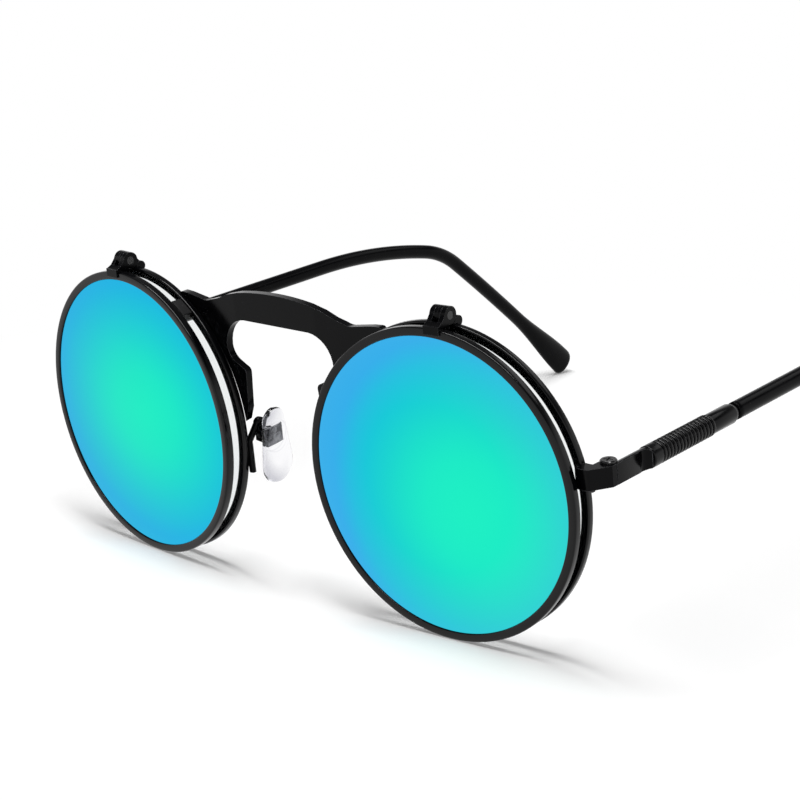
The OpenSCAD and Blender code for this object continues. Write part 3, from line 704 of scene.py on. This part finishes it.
def mesh_from(name, points, faces, sharp):
    mesh = bpy.data.meshes.new(name)
    mesh.from_pydata(points, [], faces)
    work = bmesh.new()
    work.from_mesh(mesh)
    bmesh.ops.recalc_face_normals(work, faces=work.faces)
    work.to_mesh(mesh)
    work.free()
    mesh.shade_smooth()
    mesh.set_sharp_from_angle(angle=math.radians(sharp))
    return mesh


def add_piece(name, points, faces, node, materials, sharp=40):
    finish_piece(name, mesh_from(name, points, faces, sharp), node, materials)


def loft(rows):
    """Faces that close a stack of rings of points and join each ring to the next."""
    count = len(rows[0])
    faces = [rows[0][::-1], rows[-1]]
    for here, there in zip(rows, rows[1:]):
        for k in range(count):
            n = (k + 1) % count
            faces.append([here[k], here[n], there[n], there[k]])
    return faces


def corner(cx, cy, r, start, end, steps=4):
    """Points of a rounded corner about a centre, from one angle to another."""
    turns = [math.radians(start + (end - start) * k / steps) for k in range(steps + 1)]
    return [(cx + r * math.cos(a), cy + r * math.sin(a)) for a in turns]


print("a rounded corner takes", len(corner(0, 0, 1, 0, 90)), "points")

# %% [markdown]
# ## The four rims
# Each rim is drawn from flat wire with a groove rolled into its inner face for the lens. The
# outer corners are rounded by the rolling, which is what catches the thin bright lines in the
# photograph. The main rims are split just under the end piece, where a lock with a screw closes
# them. The flip rims are closed rings.

# %% Rims
GROOVE_MOUTH = 0.36
GROOVE_ROOT = 0.14
SPLIT_Z = 2.925
SPLIT_HALF = 0.13


def rim_section(front, depth):
    out_r, in_r = 0.3, 0.16
    mid = front + depth / 2
    back = front + depth
    return (
        corner(RIM_OUT - out_r, front + out_r, out_r, -90, 0)
        + corner(RIM_OUT - out_r, back - out_r, out_r, 0, 90)
        + corner(RIM_IN + in_r, back - in_r, in_r, 90, 180, 3)
        + [(RIM_IN, mid + GROOVE_MOUTH), (LENS_R, mid + GROOVE_ROOT)]
        + [(LENS_R, mid - GROOVE_ROOT), (RIM_IN, mid - GROOVE_MOUTH)]
        + corner(RIM_IN + in_r, front + in_r, in_r, 180, 270, 3)
    )


def make_rims(side):
    place = lens_place(side)
    points, faces, _ = spin(rim_section(0, FLIP_DEPTH), place)
    add_piece("flip_rim_wire_" + side, points, faces, "flip_rim_" + side, [RIM_METAL])
    low = math.degrees(math.asin((SPLIT_Z - SPLIT_HALF) / RIM_OUT))
    high = math.degrees(math.asin((SPLIT_Z + SPLIT_HALF) / RIM_OUT))
    points, faces, _ = spin(rim_section(MAIN_Y, MAIN_DEPTH), place, high, low + 360, 191)
    add_piece("main_rim_wire_" + side, points, faces, "main_rim_" + side, [RIM_METAL])


for side in SIDES:
    make_rims(side)
print("rims: outer diameter", 2 * RIM_OUT, "mm")

# %% [markdown]
# ## The lenses
# A lens is a thin dish with a bevelled edge that sits in the rim's groove. The dish here has
# many rings, because a mirror shows every facet of what it is made of. The mirror lens gets
# three finishes by ring: coating in front, pale bevel, tinted back.

# %% Lenses
LENS_T = 1.0
LENS_CURVE = 400.0
SHOULDER = RIM_IN - 0.05
SHOULDER_HALF = 0.33
LENS_EDGE_R = LENS_R - 0.02
LENS_EDGE_HALF = 0.1
LENS_RINGS = 20
BEVEL_RINGS = 4


def lens_section(mid):
    def sag(r):
        return mid - (LENS_R * LENS_R - r * r) / (2 * LENS_CURVE)
    out = [SHOULDER * k / LENS_RINGS for k in range(LENS_RINGS + 1)]
    front = [(r, sag(r) - LENS_T / 2) for r in out]
    back = [(r, sag(r) + LENS_T / 2) for r in reversed(out)]
    bevel = [(SHOULDER, mid - SHOULDER_HALF), (LENS_EDGE_R, mid - LENS_EDGE_HALF)]
    bevel += [(LENS_EDGE_R, mid + LENS_EDGE_HALF), (SHOULDER, mid + SHOULDER_HALF)]
    return front + bevel + back


def lens_finish(band):
    """Which finish a band of faces takes: 0 the coating in front, 1 the bevel, 2 the back."""
    if band < LENS_RINGS:
        return 0
    return 1 if band <= LENS_RINGS + BEVEL_RINGS else 2


def make_lens(side, kind, mid, materials):
    points, faces, bands = spin(lens_section(mid), lens_place(side), closed=False)
    mesh = mesh_from(kind + "_dish_" + side, points, faces, 30)
    if len(materials) == 3:
        for polygon, band in zip(mesh.polygons, bands):
            polygon.material_index = lens_finish(band)
    finish_piece(kind + "_dish_" + side, mesh, kind + "_" + side, materials)


for side in SIDES:
    make_lens(side, "mirror_lens", FLIP_DEPTH / 2, [COATING[side], LENS_EDGE, TINTED_BACK])
    make_lens(side, "clear_lens", MAIN_Y + MAIN_DEPTH / 2, [CLEAR_LENS])
print("lenses: diameter", 2 * LENS_R, "thickness", LENS_T, "mm")

# %% [markdown]
# ## The ribbed sleeve
# A turned sleeve grips the temple just behind the flat bar. Its ribs are rounded by the cutting
# tool, so each rib is drawn as a small crown instead of a square tooth, and the grooves between
# them stay dark.

# %% Ribbed sleeves
SLEEVE_Y = 16.1173
SLEEVE_R = 1.82
RIB_COUNT = 16
RIB_PITCH = 0.87
RIB_DEPTH = 0.24
RIB_LAND = RIB_PITCH * 0.6
CROWN_POINTS = 7
CROWN_POWER = 0.35
SLEEVE_LEAD = 2.1
SLEEVE_L = SLEEVE_LEAD + RIB_COUNT * RIB_PITCH


def rib(start):
    """A groove and the rounded rib behind it, as (radius, length) points in mm."""
    floor_r = SLEEVE_R - RIB_DEPTH
    land_from = start + RIB_PITCH - RIB_LAND
    crown = []
    for k in range(CROWN_POINTS):
        t = k / (CROWN_POINTS - 1)
        rise = math.sin(math.pi * (0.1 + 0.8 * t)) ** CROWN_POWER
        crown.append((floor_r + RIB_DEPTH * rise, land_from + RIB_LAND * t))
    return [(floor_r, start + 0.04), (floor_r, land_from - 0.03)] + crown


def make_sleeve(side):
    lip = 0.2
    section = [(0, 0), (SLEEVE_R - lip, 0)] + corner(SLEEVE_R - lip, lip, lip, -90, 0)[1:]
    section.append((SLEEVE_R, SLEEVE_LEAD - 0.06))
    for k in range(RIB_COUNT):
        section += rib(SLEEVE_LEAD + k * RIB_PITCH)
    section.append((0, SLEEVE_L - 0.02))
    front = Vector((TEMPLE_X, SLEEVE_Y + 0.02, TEMPLE_Z))
    axis = temple_place(side) @ Matrix.Translation(front * MM)
    points, faces, _ = spin(section, axis, steps=72, closed=False)
    add_piece("ribbed_grip_" + side, points, faces, "ribbed_sleeve_" + side, [RIBBED], 32)


for side in SIDES:
    make_sleeve(side)
print("ribbed sleeves:", RIB_COUNT, "ribs over", round(RIB_COUNT * RIB_PITCH, 2), "mm")

# %% [markdown]
# ## The ear tips
# Each ear tip is a moulded sleeve that runs straight, sweeps down gently, bends over the ear
# and ends in a flat paddle. It is lofted: a ring of points travels along a centre line made
# of arcs, and grows from round to paddle shaped near the end.

# %% Ear tip centre line
TIP_R = 1.47
TIP_LEGS = [(33.0, 0.0), (30.5, 15.3), (10.0, 27.5), (46.3, 4.6)]
TIP_START = (39.6373, 4.85, 0.0)
TIP_L = sum(leg[0] for leg in TIP_LEGS)
PADDLE_HALF = 3.0
PADDLE_CORNER = 1.7
FLARE_L = 20.0


def travel(start, leg, s):
    """Where an arc leg has come to after a length: (y, z, downward angle)."""
    y, z, a = start
    length, turn = leg
    a0 = math.radians(a)
    if turn == 0:
        return y + s * math.cos(a0), z - s * math.sin(a0), a
    a1 = math.radians(a + turn * s / length)
    r = length / math.radians(turn)
    y += r * (math.sin(a1) - math.sin(a0))
    z += r * (math.cos(a1) - math.cos(a0))
    return y, z, a + turn * s / length


def tip_point(s):
    at = TIP_START
    for leg in TIP_LEGS[:-1]:
        if s <= leg[0]:
            return travel(at, leg, s)
        at = travel(at, leg, leg[0])
        s -= leg[0]
    return travel(at, TIP_LEGS[-1], s)


print("ear tip length", TIP_L, "mm")


# %% Ear tips
TIP_END_R = 1.1
LIP_MID = 0.08
LIP_L = 0.2
LIP_START = 0.86
TIP_BODY = 0.955
BODY_STEPS = 110
END_STEPS = 20
TIP_SIDES = 40


def tip_rounded(full, r, s):
    if s <= TIP_L - r:
        return full
    return full - r + math.sqrt(max(0.0, r * r - (s - (TIP_L - r)) ** 2))


def tip_flare(s):
    t = min(1.0, max(0.0, (s - (TIP_L - PADDLE_CORNER - FLARE_L)) / FLARE_L))
    return TIP_R + (PADDLE_HALF - TIP_R) * t * t * (3 - 2 * t)


def tip_stations():
    """The lengths at which a ring is set: at the lip, along the body, and closer at the end."""
    body = [TIP_L * TIP_BODY * k / BODY_STEPS for k in range(1, BODY_STEPS + 1)]
    ease = [math.sin(math.pi / 2 * k / END_STEPS) for k in range(1, END_STEPS + 1)]
    end = [TIP_L * (TIP_BODY + (1 - TIP_BODY) * e) for e in ease]
    return [0.0, LIP_MID, LIP_L] + body + end


def make_tip(side):
    place = temple_place(side)
    points, rows = [], []
    for s in tip_stations():
        y, z, a = tip_point(s)
        a = math.radians(a)
        ease = LIP_START + (1 - LIP_START) * min(1.0, s / LIP_L) ** 0.5
        high = tip_rounded(tip_flare(s), PADDLE_CORNER, s) * ease
        wide = tip_rounded(TIP_R, TIP_END_R, s) * ease
        rows.append(list(range(len(points), len(points) + TIP_SIDES)))
        for k in range(TIP_SIDES):
            turn = 2 * math.pi * k / TIP_SIDES
            x = TEMPLE_X + wide * math.cos(turn)
            h = high * math.sin(turn)
            points.append(place @ (Vector((x, y + h * math.sin(a), z + h * math.cos(a))) * MM))
    add_piece("ear_tip_" + side, points, loft(rows), "ear_sock_" + side, [TIP_PLASTIC], 60)


for side in SIDES:
    make_tip(side)
print("ear tips made, paddle", 2 * PADDLE_HALF, "mm high")

# %% [markdown]
# ## The nose pads
# A nose pad is a soft teardrop with a flat back and a crowned face, moulded round a metal tab,
# over which the face is raised to a small oval pocket. It is lofted from rings along its length.
# The back is held flat, so that it clears the box that it hangs in. Clear silicone looks grey
# where much of it lies behind itself, so painted shade darkens the front edge, and a painted grey
# line runs round the pocket.

# %% Shape of a nose pad
PAD_PIVOT = Vector((9.25, 5.4, -0.6))
PAD_LEAN = math.radians(8)
PAD_RAKE = math.radians(7)
PAD_L = 14.2
PAD_W = 7.0
PAD_T = 2.1
PAD_MID = Vector((-1.65, 0.95, -2.2))
PAD_BACK = -1.17
PAD_TOP_SHARE = 0.36
POCKET_AT = (0.6, -0.1)
POCKET_HALF = (2.55, 2.75)
POCKET_RISE = 0.09
POCKET_EDGE = 1.12
POCKET_EASE = 0.18


def pad_place(side):
    turn = Matrix.Rotation(PAD_RAKE, 4, "X") @ Matrix.Rotation(-PAD_LEAN, 4, "Y")
    return STAND @ mirror(side) @ Matrix.Translation(PAD_PIVOT * MM) @ turn


def pad_half_width(z):
    low_r, top_r = PAD_W / 2, PAD_W * PAD_TOP_SHARE
    low_c, top_c = -(PAD_L / 2 - low_r), PAD_L / 2 - top_r
    lean = math.asin((low_r - top_r) / (top_c - low_c))
    if z < low_c + low_r * math.sin(lean):
        return math.sqrt(max(0.0, low_r ** 2 - (z - low_c) ** 2))
    if z > top_c + top_r * math.sin(lean):
        return math.sqrt(max(0.0, top_r ** 2 - (z - top_c) ** 2))
    return (low_r - (z - low_c) * math.sin(lean)) / math.cos(lean)


def pocket(y, z):
    """Height of the raised pocket over the metal tab, from 0 round it to 1 above it."""
    off = math.hypot((y - POCKET_AT[0]) / POCKET_HALF[0], (z - POCKET_AT[1]) / POCKET_HALF[1])
    t = min(1.0, max(0.0, (POCKET_EDGE - off) / POCKET_EASE))
    return t * t * (3 - 2 * t)


print("pad at half height is", round(2 * pad_half_width(0), 2), "mm wide")


# %% Finish of a nose pad
# Painted shade: where the nose pad is greyed at its front edge and round its pocket.
PAD_SHADE_FROM = 0.5
PAD_SHADE_TO = 0.95
FRONT_FROM = PAD_MID.y + 2.2
FRONT_TO = PAD_MID.y - 0.8
RING_AT = 1.03
RING_HALF = 0.07
RING_CORE = 0.02
RING_SHADE = 0.35


def measure_along(tree, origin, direction):
    place = add(tree, "ShaderNodeTexCoord")
    offset = add(tree, "ShaderNodeVectorMath", operation="SUBTRACT")
    offset.inputs[1].default_value = origin
    reach = add(tree, "ShaderNodeVectorMath", operation="DOT_PRODUCT")
    reach.inputs[1].default_value = direction / MM
    wire(tree, place.outputs["Object"], offset.inputs[0])
    wire(tree, offset.outputs[0], reach.inputs[0])
    return reach.outputs["Value"]


def oval(tree, fore, rise, at, half):
    """Distance from the middle of an oval, 1 on the oval itself."""
    a = math_node(tree, "DIVIDE", math_node(tree, "SUBTRACT", fore, at[0]), half[0])
    b = math_node(tree, "DIVIDE", math_node(tree, "SUBTRACT", rise, at[1]), half[1])
    squares = [math_node(tree, "MULTIPLY", leg, leg) for leg in (a, b)]
    return math_node(tree, "SQRT", math_node(tree, "ADD", *squares))


def pad_painted_shade(side):
    """Painted shade: grey where the pad is thick at its front edge, and a grey line round its
    pocket.
    """
    place = pad_place(side)
    turn = place.to_3x3()

    def painted_shade(tree):
        fore = measure_along(tree, place.translation, turn @ Vector((0, 1, 0)))
        rise = measure_along(tree, place.translation, turn @ Vector((0, 0, 1)))
        whole = oval(tree, fore, rise, (PAD_MID.y, PAD_MID.z), (PAD_W / 2, PAD_L / 2))
        rim = remap(tree, whole, PAD_SHADE_FROM, PAD_SHADE_TO)
        front = remap(tree, fore, FRONT_FROM, FRONT_TO)
        raised = oval(tree, fore, rise, POCKET_AT, POCKET_HALF)
        ring_off = math_node(tree, "ABSOLUTE", math_node(tree, "SUBTRACT", raised, RING_AT))
        ring = remap(tree, ring_off, RING_HALF, RING_CORE, 0.0, RING_SHADE)
        return math_node(tree, "MAXIMUM", math_node(tree, "MULTIPLY", rim, front), ring)

    return painted_shade


PAD_SILICONE = {
    side: make_clear(
        "clear_silicone_painted_shade_" + side, tint=(0.97, 0.97, 0.985), cloudy=(0.92, 0.92, 0.94),
        roughness=0.06, bend=1.41, grain_depth=0.03, painted_shade=pad_painted_shade(side),
    )
    for side in SIDES
}
print("pad finishes:", [PAD_SILICONE[side].name for side in SIDES])


# %% Nose pads
PAD_RINGS = 96
PAD_SIDES = 80
PAD_CROWN = 0.6


def make_pad(side):
    place = pad_place(side)
    points, rows = [], []
    for i in range(1, PAD_RINGS):
        z = -PAD_L / 2 * math.cos(math.pi * i / PAD_RINGS)
        wide = pad_half_width(z)
        thick = PAD_T / 2 * min(1.0, (wide / (PAD_W * PAD_TOP_SHARE)) ** PAD_CROWN)
        rows.append(list(range(len(points), len(points) + PAD_SIDES)))
        for k in range(PAD_SIDES):
            turn = 2 * math.pi * k / PAD_SIDES
            x = min(PAD_BACK, PAD_MID.x + thick * math.sin(turn))
            y = PAD_MID.y + wide * math.cos(turn)
            if math.sin(turn) < 0:
                x += (1 - pocket(y, PAD_MID.z + z)) * POCKET_RISE
            points.append(place @ (Vector((x, y, PAD_MID.z + z)) * MM))
    materials = [PAD_SILICONE[side]]
    add_piece("silicone_pad_" + side, points, loft(rows), "nose_pad_" + side, materials, 50)


for side in SIDES:
    make_pad(side)
print("nose pads", PAD_L, "by", PAD_W, "mm")

# %% [markdown]
# ## The pad arms
# A pad arm is one length of flat wire: a foot soldered behind the rim, a loop that an optician
# bends to fit a nose, and a strand down to the pad box. A rounded section is carried along the
# wire's own path, so that the loop stays even all the way round.

# %% Path of a pad arm
ARM_W = 0.9
ARM_T = 1.1
FOOT_LOW = -7.1
FOOT_STEP = 0.4
FOOT_POINTS = 15
FOOT_ROOM = 0.05
FOOT_BEHIND = 0.25
LOOP_Z = 1.4
LOOP_ROOM = 0.18
LOOP_OUT = 0.2
LOOP_STEPS = 16
BOX_TOP = Vector((0.15, 0, 1.19))


def arm_path():
    foot_x = LENS_CX - RIM_OUT - FOOT_ROOM
    foot_y = MAIN_Y + MAIN_DEPTH - RIM_OUT * math.sin(WRAP) + FOOT_BEHIND
    loop_r = LOOP_ROOM + ARM_W / 2
    loop_x = PAD_PIVOT.x + LOOP_OUT
    loop_y = PAD_PIVOT.y - loop_r
    path = [Vector((foot_x, foot_y, FOOT_LOW + FOOT_STEP * k)) for k in range(FOOT_POINTS)]
    rise_from = path[-1]
    rise_to = Vector((loop_x, loop_y - loop_r, LOOP_Z))
    path += [rise_from.lerp(rise_to, k / 6) for k in range(1, 6)]
    for k in range(LOOP_STEPS + 1):
        a = math.pi * k / LOOP_STEPS
        y, z = loop_y - loop_r * math.cos(a), LOOP_Z + loop_r * math.sin(a)
        path.append(Vector((loop_x, y, z)))
    down_to = PAD_PIVOT + BOX_TOP
    path += [path[-1].lerp(down_to, k / 5) for k in range(1, 6)]
    return path


ARM_L = sum((b - a).length for a, b in zip(arm_path(), arm_path()[1:]))
print("wire in one pad arm:", round(ARM_L, 1), "mm")


# %% Pad arms
ARM_CORNER = 0.3


def wire_outline():
    r = ARM_CORNER
    u, v = ARM_T / 2 - r, ARM_W / 2 - r
    return (
        corner(u, v, r, 0, 90)
        + corner(-u, v, r, 90, 180)
        + corner(-u, -v, r, 180, 270)
        + corner(u, -v, r, 270, 360)
    )


def make_arm(side):
    path = arm_path()
    outline = wire_outline()
    place = STAND @ mirror(side)
    points, rows = [], []
    for i, at in enumerate(path):
        ahead = (path[min(i + 1, len(path) - 1)] - path[max(i - 1, 0)]).normalized()
        across = Vector((1, 0, 0))
        across = (across - ahead * across.dot(ahead)).normalized()
        deep = ahead.cross(across)
        rows.append(list(range(len(points), len(points) + len(outline))))
        points += [place @ ((at + across * u + deep * v) * MM) for u, v in outline]
    add_piece("pad_wire_" + side, points, loft(rows), "pad_arm_" + side, [SATIN], 50)


for side in SIDES:
    make_arm(side)
print("pad arms: wire", ARM_W, "by", ARM_T, "mm")

# %% [markdown]
# ## The core wires
# Inside each ear tip runs the steel wire that an optician bends. Nobody sees it while the tip
# is on, so its measured shape stays and only gets the bare steel finish.

# %% Core wires
for side in SIDES:
    node = CAD["core_wire_" + side]
    for position in range(len(node.material_slots)):
        node.material_slots[position].material = STEEL
print("core wires keep their measured shape")

# %% [markdown]
# ## Floor, backdrop and light
# The photograph has a white sweep with faint narrow shadow streaks under the rims. The floor is
# pale round the object and pure white further out, and looks white to anything that mirrors it.
# A long softbox overhead, turned a little, draws the streaks, and a weak one behind lights the
# rear edges. The lamps stay at a plain level, so that colours come out as written.

# %% Floor
WHITE = (1, 1, 1, 1)
FLOOR_PAINT = (0.8, 0.8, 0.8, 1)
FLOOR_GLOW = 0.2
FLOOR_HALF = 2.5
SHADOW_REACH = 0.11
SWEEP_FROM = 0.2


def make_floor_material():
    material = bpy.data.materials.new("white_sweep")
    material.use_nodes = True
    tree = material.node_tree
    tree.nodes.clear()
    rays = add(tree, "ShaderNodeLightPath")
    place = add(tree, "ShaderNodeTexCoord")
    reach = add(tree, "ShaderNodeVectorMath", operation="LENGTH")
    wire(tree, place.outputs["Object"], reach.inputs[0])
    far = remap(tree, reach.outputs["Value"], SHADOW_REACH, SWEEP_FROM)
    paint = add(tree, "ShaderNodeBsdfDiffuse", {"Color": FLOOR_PAINT})
    glow = add(tree, "ShaderNodeEmission", {"Color": WHITE, "Strength": FLOOR_GLOW})
    near = add(tree, "ShaderNodeAddShader")
    wire(tree, paint.outputs[0], near.inputs[0])
    wire(tree, glow.outputs[0], near.inputs[1])
    sweep = add(tree, "ShaderNodeEmission", {"Color": WHITE, "Strength": 1.0})
    lit = add(tree, "ShaderNodeMixShader")
    wire(tree, far, lit.inputs[0])
    wire(tree, near.outputs[0], lit.inputs[1])
    wire(tree, sweep.outputs[0], lit.inputs[2])
    plain = add(tree, "ShaderNodeBsdfDiffuse", {"Color": FLOOR_PAINT})
    seen = add(tree, "ShaderNodeMixShader")
    wire(tree, rays.outputs["Is Camera Ray"], seen.inputs[0])
    wire(tree, plain.outputs[0], seen.inputs[1])
    wire(tree, lit.outputs[0], seen.inputs[2])
    bright = add(tree, "ShaderNodeEmission", {"Color": WHITE, "Strength": 1.0})
    kinds = [rays.outputs["Is Glossy Ray"], rays.outputs["Is Transmission Ray"]]
    through = math_node(tree, "MAXIMUM", *kinds)
    mirrored = add(tree, "ShaderNodeMixShader")
    wire(tree, through, mirrored.inputs[0])
    wire(tree, seen.outputs[0], mirrored.inputs[1])
    wire(tree, bright.outputs[0], mirrored.inputs[2])
    result = add(tree, "ShaderNodeOutputMaterial")
    wire(tree, mirrored.outputs[0], result.inputs["Surface"])
    return material


def make_floor():
    mesh = bpy.data.meshes.new("floor")
    corners = [(-1, -1), (1, -1), (1, 1), (-1, 1)]
    below = -0.02 * MM
    points = [(x * FLOOR_HALF, y * FLOOR_HALF, below) for x, y in corners]
    mesh.from_pydata(points, [], [[0, 1, 2, 3]])
    mesh.materials.append(make_floor_material())
    floor = bpy.data.objects.new("floor", mesh)
    bpy.context.scene.collection.objects.link(floor)
    return floor


print("floor:", make_floor().name)


# %% World
ROOM_LEVEL = 0.15
LOW_SKY_END = 0.5
LOW_SKY_FULL = 0.3


def make_world():
    world = bpy.data.worlds.new("studio")
    bpy.context.scene.world = world
    world.use_nodes = True
    tree = world.node_tree
    tree.nodes.clear()
    rays = add(tree, "ShaderNodeLightPath")
    room = add(tree, "ShaderNodeBackground", {"Color": WHITE, "Strength": ROOM_LEVEL})
    white = add(tree, "ShaderNodeBackground", {"Color": WHITE, "Strength": 1.0})
    seen = add(tree, "ShaderNodeMixShader")
    direction = add(tree, "ShaderNodeSeparateXYZ")
    wire(tree, add(tree, "ShaderNodeTexCoord").outputs["Generated"], direction.inputs[0])
    low_sky = remap(tree, direction.outputs["Z"], LOW_SKY_END, LOW_SKY_FULL)
    mirrored = math_node(tree, "MULTIPLY", rays.outputs["Is Glossy Ray"], low_sky)
    kinds = [rays.outputs["Is Camera Ray"], rays.outputs["Is Transmission Ray"]]
    through = math_node(tree, "MAXIMUM", *kinds)
    wire(tree, math_node(tree, "MAXIMUM", through, mirrored), seen.inputs[0])
    wire(tree, room.outputs[0], seen.inputs[1])
    wire(tree, white.outputs[0], seen.inputs[2])
    result = add(tree, "ShaderNodeOutputWorld")
    wire(tree, seen.outputs[0], result.inputs["Surface"])


make_world()
print("world:", bpy.context.scene.world.name)


# %% Lamps
def add_softbox(name, at, toward, width, height, turn, power):
    data = bpy.data.lights.new(name, "AREA")
    data.shape = "RECTANGLE"
    data.size = width
    data.size_y = height
    data.energy = power
    lamp = bpy.data.objects.new(name, data)
    lamp.location = at
    lamp.rotation_mode = "QUATERNION"
    facing = (Vector(toward) - Vector(at)).to_track_quat("-Z", "Y")
    lamp.rotation_quaternion = facing @ Quaternion((0, 0, 1), math.radians(turn))
    bpy.context.scene.collection.objects.link(lamp)


add_softbox(
    "overhead_softbox", at=(0.0, -0.178, 1.2), toward=(0, -0.075, 0),
    width=1.2, height=0.3, turn=-14, power=15.2,
)
add_softbox(
    "back_softbox", at=(0.2, 0.8, 0.85), toward=(0, 0, 0),
    width=0.7, height=0.3, turn=0, power=0.9,
)
bpy.context.scene.view_settings.view_transform = "Standard"
